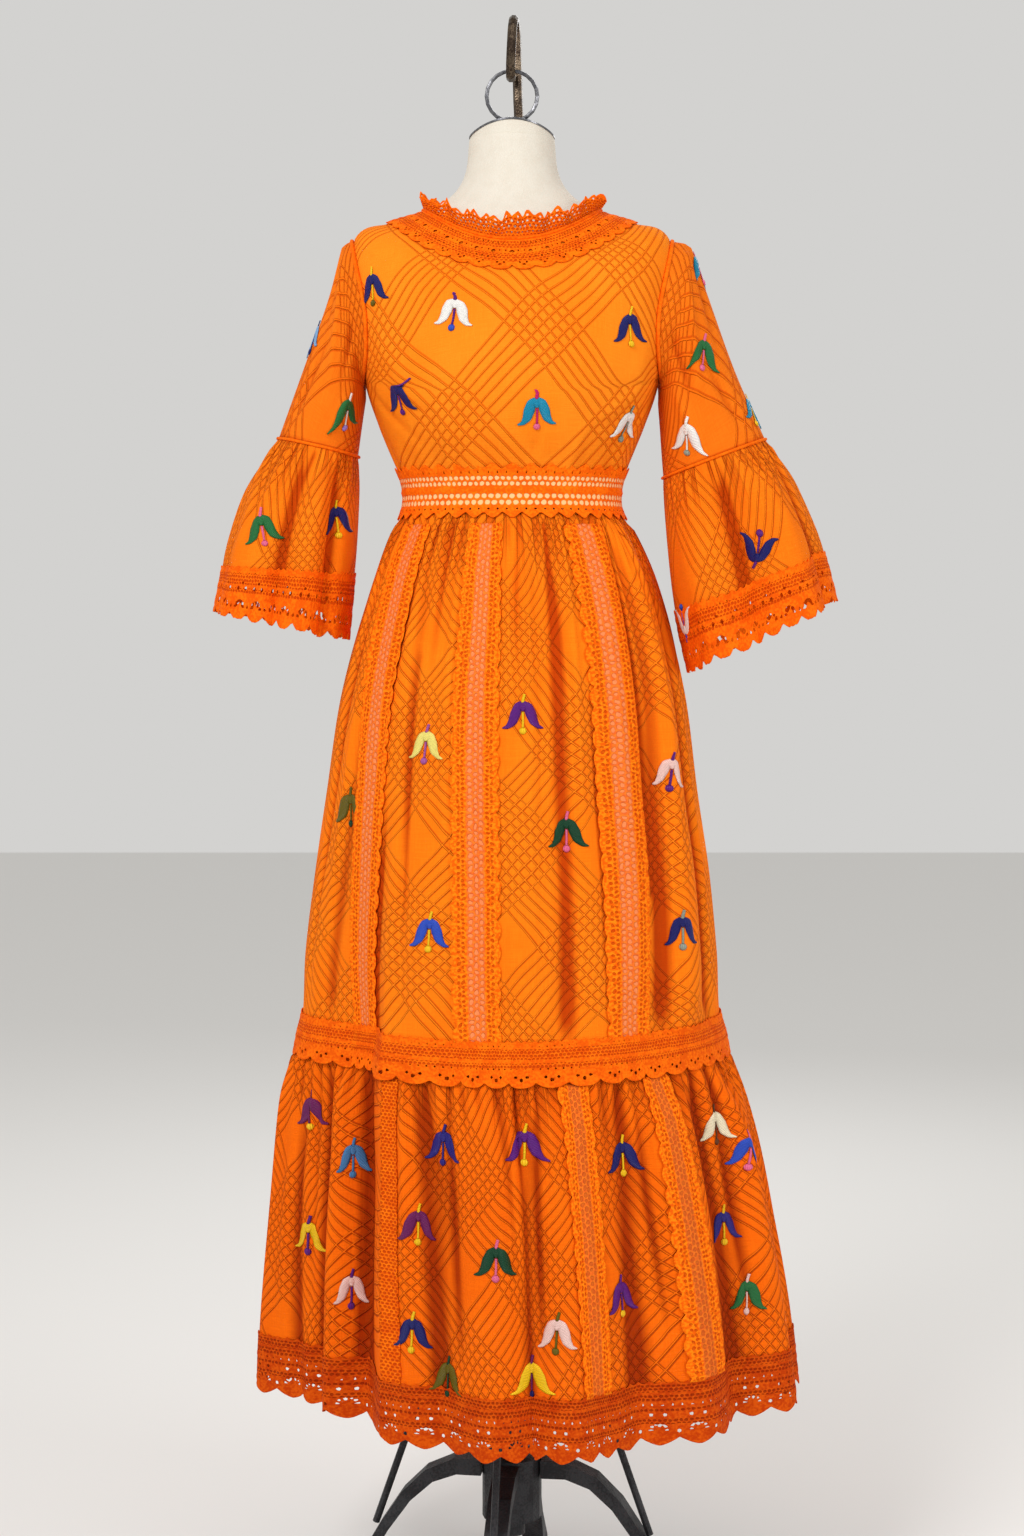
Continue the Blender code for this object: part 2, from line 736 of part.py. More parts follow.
def make_stand():
    """Pole, hub, brace collar, four arched legs and their braces."""
    pole_top = TORSO[-1][2] - 0.0004
    middle = (pole_top + POLE_FOOT) / 2
    round_solid("stand_pole", POLE_RADIUS, pole_top - POLE_FOOT, (0, 0, middle), IRON)
    for name, centre, radius, height in (
        ("stand_hub", HUB_Z, HUB_RADIUS, HUB_HEIGHT),
        ("stand_brace_collar", BRACE_COLLAR_Z, POLE_RADIUS + 0.011, 0.022),
    ):
        inside = POLE_RADIUS + POLE_CLEARANCE
        profile = (
            (inside, centre - height / 2),
            (radius, centre - height / 2),
            (radius, centre + height / 2),
            (inside, centre + height / 2),
        )
        hollow_turning(name, profile, IRON)
    for number, side in enumerate(("front", "right", "back", "left")):
        turn = LEG_TURN * -1 + number * math.pi / 2
        make_leg("stand_leg_" + side, turn)
        make_brace("stand_brace_" + side, turn)


def hollow_turning(name, profile, material):
    """A ring turned round the pole from a closed profile of radius and height."""
    count = 16
    mesh = bpy.data.meshes.new(name)
    points = []
    for k in range(count):
        turn = 2 * math.pi * k / count
        points += [(r * math.cos(turn), r * math.sin(turn), z) for r, z in profile]
    faces = []
    size = len(profile)
    for k in range(count):
        near, far = k * size, ((k + 1) % count) * size
        for j in range(size):
            i = (j + 1) % size
            faces.append((near + j, far + j, far + i, near + i))
    mesh.from_pydata(points, [], faces)
    shape = bmesh.new()
    shape.from_mesh(mesh)
    bmesh.ops.recalc_face_normals(shape, faces=shape.faces)
    shape.to_mesh(mesh)
    shape.free()
    return add_object(name, mesh, material)


def leg_frame(turn):
    """The direction a leg runs in, and the direction across it."""
    return Vector((math.sin(turn), -math.cos(turn), 0)), Vector((math.cos(turn), math.sin(turn), 0))


def make_leg(name, turn):
    """An arched flat bar from the hub to a level foot."""
    out, across = leg_frame(turn)
    sections = []
    path = [Vector((reach, height)) for reach, height, _ in LEG_PATH]
    for k, (reach, height, thick) in enumerate(LEG_PATH[:-1]):
        ahead = (path[min(k + 1, len(path) - 1)] - path[max(k - 1, 0)]).normalized()
        up = Vector((-ahead.y, ahead.x)) if k else Vector((0, 1))
        corners = []
        for s, t in ((-1, -1), (1, -1), (1, 1), (-1, 1)):
            place = path[k] + up * (t * thick / 2)
            corners.append(out * place.x + Vector((0, 0, place.y)) + across * (s * LEG_WIDTH / 2))
        sections.append(corners)
    near, far = FOOT_REACH
    for height in (0.010, 0.0):
        sections.append(
            [
                out * reach + Vector((0, 0, height)) + across * (s * LEG_WIDTH / 2)
                for s, reach in ((-1, near), (1, near), (1, far), (-1, far))
            ]
        )
    return loft_solid(name, sections, IRON)


def make_brace(name, turn):
    """A thin straight rod from the collar on the pole down to a leg."""
    out, _ = leg_frame(turn)
    top = out * BRACE_TOP[0] + Vector((0, 0, BRACE_TOP[1]))
    foot = out * BRACE_FOOT[0] + Vector((0, 0, BRACE_FOOT[1]))
    return wire(name, [top, foot], BRACE_RADIUS, IRON)


def make_bodice():
    """Front and back from neckline to waist, shoulder and side seams left just apart."""
    grids = {}
    for name, facing in (("bodice_front", 0.0), ("bodice_back", math.pi)):
        columns = [2 * k / BODICE_COLUMNS - 1 for k in range(BODICE_COLUMNS + 1)]
        grids[name] = grid_of(bodice_surface(facing), BODICE_ROWS, columns)
        wall(name, grids[name], CLOTH, VOILE)
    return grids


def make_collar(grids):
    """The flat lace collar, laid on the bodice's own points and scalloped outside."""
    front, back = grids["bodice_front"], grids["bodice_back"]
    round_grid = [f[:-1] + b[:-1] + [f[0]] for f, b in zip(front[:5], back[:5])]
    normals = grid_normals(round_grid)
    around = len(round_grid[0]) - 1
    for line in normals:
        line[0] = (line[0] + line[-1]).normalized()
        line[-1] = line[0]
    steps = 2 * COLLAR_SCALLOPS
    grid = []
    for number, ring in enumerate(COLLAR_ROWS):
        line = []
        for step in range(steps):
            reach = ring
            if number == len(COLLAR_ROWS) - 1 and step % 2 == 0:
                reach = COLLAR_NOTCH
            row = (reach - NECKLINE) * 2
            line.append(lifted(round_grid, normals, row, step * around / steps, COLLAR_LIFT))
        grid.append(line)
    wall("collar_lace", grid, LACE, LACEWORK, outwards=True, closed=True)


def make_frill():
    """The standing frill: it leaves the neckline and swings in and out in waves."""
    count = FRILL_WAVES * FRILL_STEPS
    grid = [[], []]
    for step in range(count):
        angle = 2 * math.pi * step / count
        base = moved_out(torso_point, FRILL_BASE_RING, angle, BODICE_EASE[0][1], 0.01, 0.01)
        s, c = math.sin(angle), math.cos(angle)
        end = FRILL_FRONT if c > 0 else FRILL_BACK
        rise = FRILL_SIDE[0] + (end[0] - FRILL_SIDE[0]) * c * c
        lean = FRILL_SIDE[1] + (end[1] - FRILL_SIDE[1]) * c * c
        outward = Vector((s, -c, 0))
        phase = 2 * math.pi * step / FRILL_STEPS
        uneven = 0.75 + 0.25 * math.sin(3.1 * angle + 0.6)
        swing = FRILL_SWING * uneven * math.sin(phase + 0.5 * math.sin(2 * angle))
        grid[1].append(base)
        grid[0].append(base + outward * (lean + swing) + Vector((0, 0, rise + 0.002 * math.sin(5 * angle))))
    wall("neck_frill", grid, LACE, LACEWORK, closed=True)


def make_sleeves():
    """Each sleeve, its flounce, and the lace trim on the flounce in two halves."""
    turns = [2 * math.pi * k / SLEEVE_COLUMNS for k in range(SLEEVE_COLUMNS)]
    for side, name, upper, lower, waves in (
        (-1, "left", LEFT_SLEEVE, LEFT_FLOUNCE, LEFT_WAVES),
        (1, "right", RIGHT_SLEEVE, RIGHT_FLOUNCE, RIGHT_WAVES),
    ):
        places = (-1, 0.0, 1.0, 2.0, 3.0)
        grid = grid_of(sleeve_surface(upper, side), places, turns)
        wall("sleeve_" + name, grid, CLOTH, VOILE, outwards=True, closed=True)
        surface = flounce_surface(lower, waves, side)
        turns = [2 * math.pi * k / FLOUNCE_COLUMNS for k in range(FLOUNCE_COLUMNS)]
        cloth = grid_of(surface, (*FLOUNCE_ROWS, TRIM_END), turns)
        wall("flounce_" + name, cloth[:-1], CLOTH, VOILE, closed=True)
        make_trim("flounce_lace_" + name, cloth)


def make_trim(name, cloth):
    """The lace on a flounce's hem, laid on the cloth's own points and scalloped below."""
    normals = grid_normals(cloth, closed=True)
    last_row = len(cloth) - 1
    grid = []
    for section in TRIM_ROWS:
        row = float(np.interp(section, (*FLOUNCE_ROWS, TRIM_END), range(last_row + 1)))
        line = []
        for column in range(FLOUNCE_COLUMNS):
            r = min(int(row), last_row - 1)
            point = cloth[r][column].lerp(cloth[r + 1][column], row - r)
            point = point + normals[r][column].lerp(normals[r + 1][column], row - r) * LACE_LIFT
            if section == TRIM_ROWS[-1] and column % 2 == 1:
                point.z -= SCALLOP_DROP
            line.append(point)
        grid.append(line)
    wall(name, grid, LACE, LACEWORK, outwards=True, closed=True)


def make_waist_band():
    """The open band at the waist: two rows of holes, a scalloped edge above and below."""
    per_half = WAIST_SCALLOPS
    for name, start in (("waist_lace_front", -90), ("waist_lace_back", 90)):
        grid = []
        for number, height in enumerate(WAIST_BAND_ROWS):
            line = []
            for step in range(per_half + 1):
                degrees = start + 180 * step / per_half
                degrees += 0.1 * (1 if step == 0 else -1 if step == per_half else 0)
                at = height
                if step % 2 == 1:
                    at += {0: -0.0045, len(WAIST_BAND_ROWS) - 1: 0.0}.get(number, 0.0)
                elif number == len(WAIST_BAND_ROWS) - 1:
                    at += 0.0040
                line.append(hoop_point(WAIST_BAND, at, math.radians(degrees)))
            grid.append(line)
        holes = {(row, c) for row in WAIST_HOLE_ROWS for c in range(1, per_half - 1, 2)}
        wall(name, grid, LACE, LACEWORK, outwards=True, holes=holes)


def skirt_grid(surface, lines, rows):
    """The points of one half of a skirt, with the side seams left just apart."""
    count = lines[-1][0]
    columns = [SIDE_SEAM_COLUMN] + list(range(1, count)) + [count - SIDE_SEAM_COLUMN]
    return grid_of(surface(lines), rows, columns)


def make_skirts():
    """Both tiers, front and back, with the insertions laid on their points."""
    grids = {}
    for name, lines, surface, rows, laces in (
        ("upper_skirt_front", UPPER_FRONT_LINES, upper_surface, UPPER_ROWS, UPPER_FRONT_LACES),
        ("upper_skirt_back", UPPER_BACK_LINES, upper_surface, UPPER_ROWS, UPPER_BACK_LACES),
        ("lower_skirt_front", LOWER_FRONT_LINES, lower_surface, LOWER_ROWS, LOWER_FRONT_LACES),
        ("lower_skirt_back", LOWER_BACK_LINES, lower_surface, LOWER_ROWS, LOWER_BACK_LACES),
    ):
        grid = skirt_grid(surface, lines, rows)
        grids[name] = grid
        wall(name, grid, CLOTH, VOILE)
        normals = grid_normals(grid)
        upper = name.startswith("upper")
        kept = rows[2:-2] if upper else rows[2:-1]
        for number, (first, last) in enumerate(laces):
            strip = []
            for height in kept:
                row = rows.index(height)
                columns = range(first, last + 1)
                strip.append([grid[row][c] + normals[row][c] * LACE_LIFT for c in columns])
            label = "{}_lace_{}_{}".format(*name.split("_")[::2], number + 1)
            wall(label, strip, LACE, LACEWORK, outwards=True)
    return grids


def make_tier_band(grids):
    """The lace over the seam of the two tiers, in two halves, scalloped below."""
    for facing in ("front", "back"):
        above = grids["upper_skirt_" + facing]
        normals = grid_normals(above)
        grid = [[], [], []]
        for column in range(len(above[0])):
            grid[0].append(above[-2][column] + normals[-2][column] * TIER_BAND_LIFT[0])
            grid[1].append(above[-1][column] + normals[-1][column] * TIER_BAND_LIFT[1])
            bottom = grid[1][-1] + normals[-1][column] * TIER_BAND_LIFT[2]
            bottom.z = TIER_BAND_BOTTOM - (SCALLOP_DROP if column % 2 == 1 else 0.0)
            grid[2].append(bottom)
        wall("tier_lace_" + facing, grid, LACE, LACEWORK, outwards=True)


def make_hem_lace():
    """The deep lace sewn to the edge of the lower tier: one row of holes over its scallops."""
    steps = 2 * HEM_SCALLOPS_PER_HALF
    for facing, lines in (("front", LOWER_FRONT_LINES), ("back", LOWER_BACK_LINES)):
        surface = lower_surface(lines)
        count = lines[-1][0]
        grid = []
        for number, height in enumerate(HEM_LACE_ROWS):
            line = []
            for step in range(steps + 1):
                column = min(max(count * step / steps, SIDE_SEAM_COLUMN), count - SIDE_SEAM_COLUMN)
                point = surface(height, column)
                if number == len(HEM_LACE_ROWS) - 1 and step % 2 == 1:
                    point.z -= SCALLOP_DROP
                line.append(point)
            grid.append(line)
        holes = {(HEM_HOLE_ROW, c) for c in range(1, steps - 1, 2)}
        wall("hem_lace_" + facing, grid, LACE, LACEWORK, outwards=True, holes=holes)


clear_scene()
PARTS = bpy.data.collections.new(OBJECT_NAME)
bpy.context.scene.collection.children.link(PARTS)
AXIS = bpy.data.objects.new("form_axis", None)
AXIS.location = (AXIS_X, AXIS_Y, 0)
PARTS.objects.link(AXIS)
VOILE = finish_material("orange_voile", (0.90, 0.24, 0.02), 0.85)
LACEWORK = finish_material("orange_lace", (0.92, 0.30, 0.04), 0.80)
FORM = finish_material("cream_form", (0.86, 0.80, 0.68), 0.60)
STEEL = finish_material("grey_steel", (0.42, 0.42, 0.44), 0.35, 1.0)
BRONZE = finish_material("aged_bronze", (0.22, 0.17, 0.11), 0.35, 1.0)
IRON = finish_material("cast_iron", (0.03, 0.03, 0.032), 0.55, 0.6)
make_form()
make_neck_fittings()
make_stand()
bodice_grids = make_bodice()
make_collar(bodice_grids)
make_frill()
make_sleeves()
make_waist_band()
skirt_grids = make_skirts()
make_tier_band(skirt_grids)
make_hem_lace()
bpy.context.view_layer.update()
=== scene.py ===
# %% [markdown]
# # A lace maxi dress on a dress form
# The real object is a long dress of bright orange cotton voile with pintucks, lace and
# embroidered flowers, worn by a cream dress form on a cast stand. The solids of the same
# object are loaded first. They fix every size, and each new piece is laid where its solid is.

# %% Load the frame
import json
import math

import bmesh
import bpy
import numpy as np
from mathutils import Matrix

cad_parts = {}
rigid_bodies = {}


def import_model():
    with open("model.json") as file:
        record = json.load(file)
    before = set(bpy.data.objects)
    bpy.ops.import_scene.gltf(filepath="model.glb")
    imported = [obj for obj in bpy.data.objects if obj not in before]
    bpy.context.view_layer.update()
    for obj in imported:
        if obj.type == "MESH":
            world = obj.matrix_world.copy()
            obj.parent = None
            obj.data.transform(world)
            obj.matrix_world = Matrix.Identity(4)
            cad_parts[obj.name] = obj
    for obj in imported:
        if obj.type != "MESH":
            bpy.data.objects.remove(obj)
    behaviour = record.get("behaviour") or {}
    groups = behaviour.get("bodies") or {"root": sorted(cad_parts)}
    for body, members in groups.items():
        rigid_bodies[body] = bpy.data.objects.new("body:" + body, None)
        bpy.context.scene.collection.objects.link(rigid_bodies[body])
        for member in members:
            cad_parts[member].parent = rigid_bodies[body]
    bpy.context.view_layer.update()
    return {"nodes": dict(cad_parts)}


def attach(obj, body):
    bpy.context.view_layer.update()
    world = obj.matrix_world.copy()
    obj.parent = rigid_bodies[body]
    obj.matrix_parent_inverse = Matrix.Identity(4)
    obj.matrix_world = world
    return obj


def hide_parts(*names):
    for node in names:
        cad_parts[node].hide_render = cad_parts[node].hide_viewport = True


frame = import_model()
NODES = frame["nodes"]
print("solids:", len(NODES))

# %% [markdown]
# ## Camera
# A long lens at chest height, held level, shows the whole dress without bending it. The
# picture's frame is slid down instead of tilting the camera, so upright lines stay upright.

# %% Camera
AXIS = np.array((-0.0155, 0.0014, 0.0))
EYE = np.array((AXIS[0], AXIS[1] - 3.0, 1.1615))
PICTURE = (1024, 1536)
HORIZON = 600
FOCAL_PIXELS = 2609.0

camera_data = bpy.data.cameras.new("camera")
camera_data.sensor_fit = "VERTICAL"
camera_data.sensor_height = 36.0
camera_data.lens = 36.0 * FOCAL_PIXELS / PICTURE[1]
camera_data.shift_y = (HORIZON - PICTURE[1] / 2) / PICTURE[1]
camera = bpy.data.objects.new("camera", camera_data)
camera.location = EYE
camera.rotation_euler = (math.pi / 2, 0, 0)
bpy.context.scene.collection.objects.link(camera)
bpy.context.scene.camera = camera
print("lens", round(camera_data.lens, 2), "shift", round(camera_data.shift_y, 4))

# %% [markdown]
# ## Writing shaders as sums
# A finish on this dress is a sum of small patterns: tucks, threads, folds of colour. Node by
# node that is slow to read, so a small class wraps a socket, and + - * / on it add the Math
# nodes. Every other node comes from one method, so a finish reads like a recipe.

# %% Shader arithmetic
class Wire:
    """One output of a node, on which sums can be done."""

    def __init__(self, finish, socket):
        self.finish = finish
        self.socket = socket

    def out(self, number):
        return Wire(self.finish, self.socket.node.outputs[number])

    def math(self, operation, *others):
        return self.finish.math(operation, self, *others)

    def __add__(self, other):
        return self.finish.math("ADD", self, other)

    def __sub__(self, other):
        return self.finish.math("SUBTRACT", self, other)

    def __rsub__(self, other):
        return self.finish.math("SUBTRACT", other, self)

    def __mul__(self, other):
        return self.finish.math("MULTIPLY", self, other)

    def __truediv__(self, other):
        return self.finish.math("DIVIDE", self, other)

    def __abs__(self):
        return self.finish.math("ABSOLUTE", self)

    __radd__ = __add__
    __rmul__ = __mul__


class Finish:
    """A material that is put together from nodes."""

    def __init__(self, name, roughness, metallic=0.0):
        self.material = bpy.data.materials.new(name)
        self.material.use_nodes = True
        self.tree = self.material.node_tree
        self.shader = self.tree.nodes["Principled BSDF"]
        self.shader.inputs["Roughness"].default_value = roughness
        self.shader.inputs["Metallic"].default_value = metallic

    def node(self, kind, settings=None, inputs=None, output=0):
        made = self.tree.nodes.new(kind)
        for key, value in (settings or {}).items():
            if key == "stops":
                for stop, (place, shade) in zip(made.color_ramp.elements, value):
                    stop.position = place
                    stop.color = (*shade, 1.0)
            else:
                setattr(made, key, value)
        for key, value in (inputs or {}).items():
            self.feed(made.inputs[key], value)
        return Wire(self, made.outputs[output])

    def feed(self, socket, value):
        if isinstance(value, Wire):
            self.tree.links.new(value.socket, socket)
        elif isinstance(value, tuple) and len(value) == 3 and socket.type == "RGBA":
            socket.default_value = (*value, 1.0)
        else:
            socket.default_value = value

    def math(self, operation, *values):
        return self.node("ShaderNodeMath", {"operation": operation}, dict(enumerate(values)))

    def step(self, value, low, high):
        """0 below low, 1 above high, soft between."""
        inputs = {"Value": value, "From Min": low, "From Max": high}
        return self.node("ShaderNodeMapRange", {"interpolation_type": "SMOOTHSTEP"}, inputs)

    def mix(self, share, first, second):
        inputs = {0: share, 6: first, 7: second}
        return self.node("ShaderNodeMix", {"data_type": "RGBA"}, inputs, output=2)

    def noise(self, place, scale, detail=2.0):
        return self.node("ShaderNodeTexNoise", {}, {"Vector": place, "Scale": scale, "Detail": detail})

    def stretched(self, place, sizes, shift=(0.0, 0.0, 0.0)):
        return self.node("ShaderNodeMapping", {}, {"Vector": place, "Scale": sizes, "Location": shift})

    def bump(self, height, distance, strength=1.0):
        inputs = {"Height": height, "Distance": distance, "Strength": strength}
        self.paint("Normal", self.node("ShaderNodeBump", {}, inputs))

    def paint(self, socket, value):
        self.feed(self.shader.inputs[socket], value)


def shade(red, green, blue):
    """A colour as a picture shows it, turned into the linear one that a shader needs."""
    return tuple(((part / 255 + 0.055) / 1.055) ** 2.4 if part > 10 else part / 3294.6 for part in (red, green, blue))


print("orange in the shader:", [round(part, 3) for part in shade(252, 125, 25)])

# %% [markdown]
# ## Pintucked voile
# Pintucks are ridges about a millimetre and a half wide, stitched in fives. Two sets cross and leave plain diamonds.
# They could be modelled, but thousands of threads of mesh would add nothing that a bump doesn't. The pattern lies in
# the piece's own cut, a UV map in metres of flat cloth, so it gathers, fans and folds as the cloth does. A tuck is
# three layers of sheer cloth, so on the bodice and sleeves it is deeper in colour than the single layer round it. On
# the skirts the ridge is painted a little lighter than the cloth, a painted highlight of its lit side. Beside each tuck
# runs a line of painted shade, and the folds and gathers are darkened with painted shade too.

# %% Voile
DIAMOND_WIDE = 0.100
DIAMOND_HIGH = 0.108


def tuck_lines(finish, along, spacing, reach):
    """One family of pintucks: where its ridges stand, and the shade on one side of each."""
    place = (along + 1.0).math("WRAP", 1.0, -1.0)
    inside = 1.0 - finish.step(abs(place), reach - 0.008, reach + 0.008)
    beside = (place / spacing).math("WRAP", 0.5, -0.5)
    ridge = (1.0 - finish.step(abs(beside), 0.03, 0.12)) * inside
    dip = (1.0 - finish.step(abs(beside - 0.14), 0.03, 0.11)) * inside
    return ridge, dip


def voile(name, colours, cover, spacing, reach, relief, wander, gathered=None):
    """Sheer cloth. Its colours are the lit cloth, the slubs, a tuck's ridge, the painted shade beside it, and the
    painted shade in a fold, where the cloth also lies doubled. cover is how much the single layer covers. gathered is
    where down the cut its gathers start and where they have opened out; there, stripes of painted shade with a dent in
    the bump stand for the gathers. relief is the bump's height in metres, and wander how far a tuck strays from its
    line."""
    sheer, deep, tuck, shadow, fold = (shade(*colour) for colour in colours)
    finish = Finish(name, 0.85)
    cut = finish.node("ShaderNodeUVMap", {"uv_map": "cut"})
    across = finish.node("ShaderNodeSeparateXYZ", {}, {0: cut})
    down = across.out(1)
    drift = finish.noise(finish.stretched(cut, (7.0, 6.0, 1.0)), 1.0, 1.0)
    sway = finish.noise(finish.stretched(cut, (6.0, 8.0, 1.0), (3.1, 1.7, 0.0)), 1.0, 1.0)
    bent_across = (across + (drift - 0.5) * wander) / DIAMOND_WIDE
    bent_down = (down + (sway - 0.5) * wander) / DIAMOND_HIGH
    ridge, dip = tuck_lines(finish, bent_across + bent_down, spacing, reach)
    other_ridge, other_dip = tuck_lines(finish, bent_across - bent_down, spacing, reach)
    ridge = ridge.math("MAXIMUM", other_ridge)
    dip = dip.math("MAXIMUM", other_dip) * (1.0 - ridge)
    warp = finish.noise(finish.stretched(cut, (900.0, 40.0, 1.0)), 1.0)
    weft = finish.noise(finish.stretched(cut, (40.0, 900.0, 1.0)), 1.0)
    slub = finish.step(warp + weft, 0.82, 1.22)
    cloud = finish.noise(finish.stretched(cut, (11.0, 7.0, 1.0)), 1.0, 3.0)
    trough = finish.node("ShaderNodeAttribute", {"attribute_name": "trough"}).out(2)
    height = ridge + slub * 0.10
    # Below the seam, noisy stripes of painted shade and a dent in the bump stand for fine gathers.
    if gathered:
        strand = finish.noise(finish.stretched(cut, (85.0, 5.0, 1.0)), 1.0, 1.0)
        painted_gathers = finish.step(strand, 0.50, 0.62) * (1.0 - finish.step(down, *gathered))
        trough = trough.math("MAXIMUM", painted_gathers * 0.62)
        height = height - painted_gathers * 1.3
    cloth = finish.mix(slub * 0.35 + finish.step(cloud, 0.36, 0.66) * 0.45, sheer, deep)
    cloth = finish.mix(dip * 0.62, cloth, shadow)
    # On the skirts the tuck colour is lighter than the cloth: a painted highlight of the ridge's lit side.
    cloth = finish.mix(ridge * 0.55, cloth, tuck)
    # The fold colour is painted shade, laid on as deep as each place lies in its fold; there the cloth also lies
    # doubled.
    finish.paint("Base Color", finish.mix(trough * 0.85, cloth, fold))
    finish.paint("Alpha", ridge * (1.0 - cover) + cover)
    finish.bump(height, relief)
    finish.shader.inputs["Specular IOR Level"].default_value = 0.06
    return finish.material


# The colours deepen from the bodice down to the lower tier. The bodice is paler where the cream form shows through it;
# the deeper colours lower down are painted shade, as less light reaches the hollow lower skirt.
BODICE_VOILE = voile(
    "voile over the form",
    ((255, 141, 28), (250, 125, 16), (244, 104, 5), (226, 82, 1), (208, 72, 3)), 0.92, 0.150, 0.505, 0.0017, 0.018,
)
SLEEVE_VOILE = voile(
    "voile of the sleeves",
    ((248, 124, 22), (238, 108, 12), (240, 102, 6), (210, 68, 1), (190, 58, 3)), 0.90, 0.140, 0.640, 0.0020, 0.030,
)
FLOUNCE_VOILE = voile(
    "voile of the flounces",
    ((254, 130, 20), (246, 112, 10), (255, 126, 20), (200, 58, 0), (188, 54, 0)), 0.90, 0.140, 0.620, 0.0023, 0.030, (0.006, 0.075),
)
UPPER_VOILE = voile(
    "voile of the upper skirt",
    ((255, 130, 18), (252, 114, 10), (255, 132, 24), (196, 56, 0), (182, 46, 0)), 0.95, 0.130, 0.660, 0.0024, 0.030, (-0.145, -0.045),
)
LOWER_VOILE = voile(
    "voile of the lower tier",
    ((252, 112, 10), (238, 95, 5), (255, 116, 14), (158, 36, 0), (146, 32, 0)), 0.97, 0.130, 0.690, 0.0028, 0.034, (-0.100, -0.030),
)
print("voiles: bodice and sleeves, upper skirt, lower tier")

# %% [markdown]
# ## Lace and thread
# The lace is cotton net worked over with thread and dyed with the cloth. Its holes and edges
# are real mesh, made below, so the finish adds what is finer than a hole: the ribs of the
# thread, and a paler pink where the net is thin. The flowers are satin stitch: their colour is
# stored on the mesh, and fine ridges run across each petal.

# %% Lace, thread and bindings
def cells(finish, across, down, pitch, high, start, wide, tall):
    """A row of oval cells along a strip: 1 in a cell and 0 on the thread round it."""
    x = (across / pitch + start).math("WRAP", 0.5, -0.5) * (pitch / wide)
    y = (down - high) / tall
    return 1.0 - finish.step(x * x + y * y, 0.55, 1.1)


def lace(name, lit, deep, dark, rows=(), cell_shade=None, net=()):
    """Dyed lace. rows are oval cells as (pitch, place down, start, width, height) and show the
    cloth or form behind. net is bands of fine mesh as pairs of places down the strip."""
    finish = Finish(name, 0.85)
    cut = finish.node("ShaderNodeUVMap", {"uv_map": "cut"})
    across = finish.node("ShaderNodeSeparateXYZ", {}, {0: cut})
    down = across.out(1)
    ground = finish.noise(cut, 320.0, 2.0)
    patch = finish.noise(cut, 60.0, 1.0)
    wobble = (finish.noise(cut, 150.0, 1.0) - 0.5) * 0.0024
    across, down = across + wobble, down - wobble
    colour = finish.mix(finish.step(ground * 0.6 + patch * 0.4, 0.38, 0.60), lit, deep)
    height = ground * 0.6
    for low, high in net:
        inside = finish.step(down, low - 0.0004, low + 0.0004) * (1.0 - finish.step(down, high - 0.0004, high + 0.0004))
        line = (down / 0.0036).math("FLOOR")
        x = (across / 0.0044 + line * 0.5).math("WRAP", 0.5, -0.5) * 2.3
        y = (down / 0.0036 - line - 0.5) * 2.3
        gap = (1.0 - finish.step(x * x + y * y, 0.30, 0.95)) * inside
        colour = finish.mix(gap * 0.72, colour, dark)
        height = height - gap
    for pitch, high, start, wide, tall in rows:
        gap = cells(finish, across, down, pitch, high, start, wide, tall)
        colour = finish.mix(gap * 0.88, colour, cell_shade)
        height = height - gap
    finish.paint("Base Color", colour)
    finish.bump(height, 0.0008)
    finish.shader.inputs["Specular IOR Level"].default_value = 0.06
    return finish.material


LACE_LIT, LACE_DEEP, LACE_DARK = shade(253, 117, 9), shade(234, 92, 4), shade(184, 46, 0)
PEACH = shade(244, 168, 110)
LACE = lace("dyed lace", shade(248, 110, 8), shade(226, 84, 3), LACE_DARK, net=((0.0095, 0.0200), (0.0240, 0.0280)))
COLLAR_LACE = lace("dyed lace of the collar", LACE_LIT, LACE_DEEP, LACE_DARK, net=((0.0030, 0.0140), (0.0235, 0.0370)))
FRILL_LACE = lace("dyed lace of the frill", LACE_LIT, LACE_DEEP, LACE_DARK, net=((0.0085, 0.0270),))
WAIST_LACE = lace(
    "dyed lace of the waist", LACE_LIT, LACE_DEEP, LACE_DARK,
    rows=(
        (0.0066, 0.0160, 0.00, 0.0027, 0.0026), (0.0066, 0.0222, 0.50, 0.0027, 0.0026),
        (0.0078, 0.0360, 0.00, 0.0033, 0.0031), (0.0078, 0.0434, 0.50, 0.0033, 0.0031),
    ),
    cell_shade=shade(250, 198, 138),
)
# The hem lace is darker than the rest of the lace, which is dyed alike: painted shade at the foot of the skirt, where
# less light falls.
HEM_LACE_IN_SHADE = lace(
    "dyed lace of the hem in painted shade", shade(214, 84, 8), shade(186, 58, 3), shade(126, 26, 0), net=((0.0045, 0.0120), (0.0150, 0.0215), (0.0285, 0.0325), (0.0390, 0.0450))
)


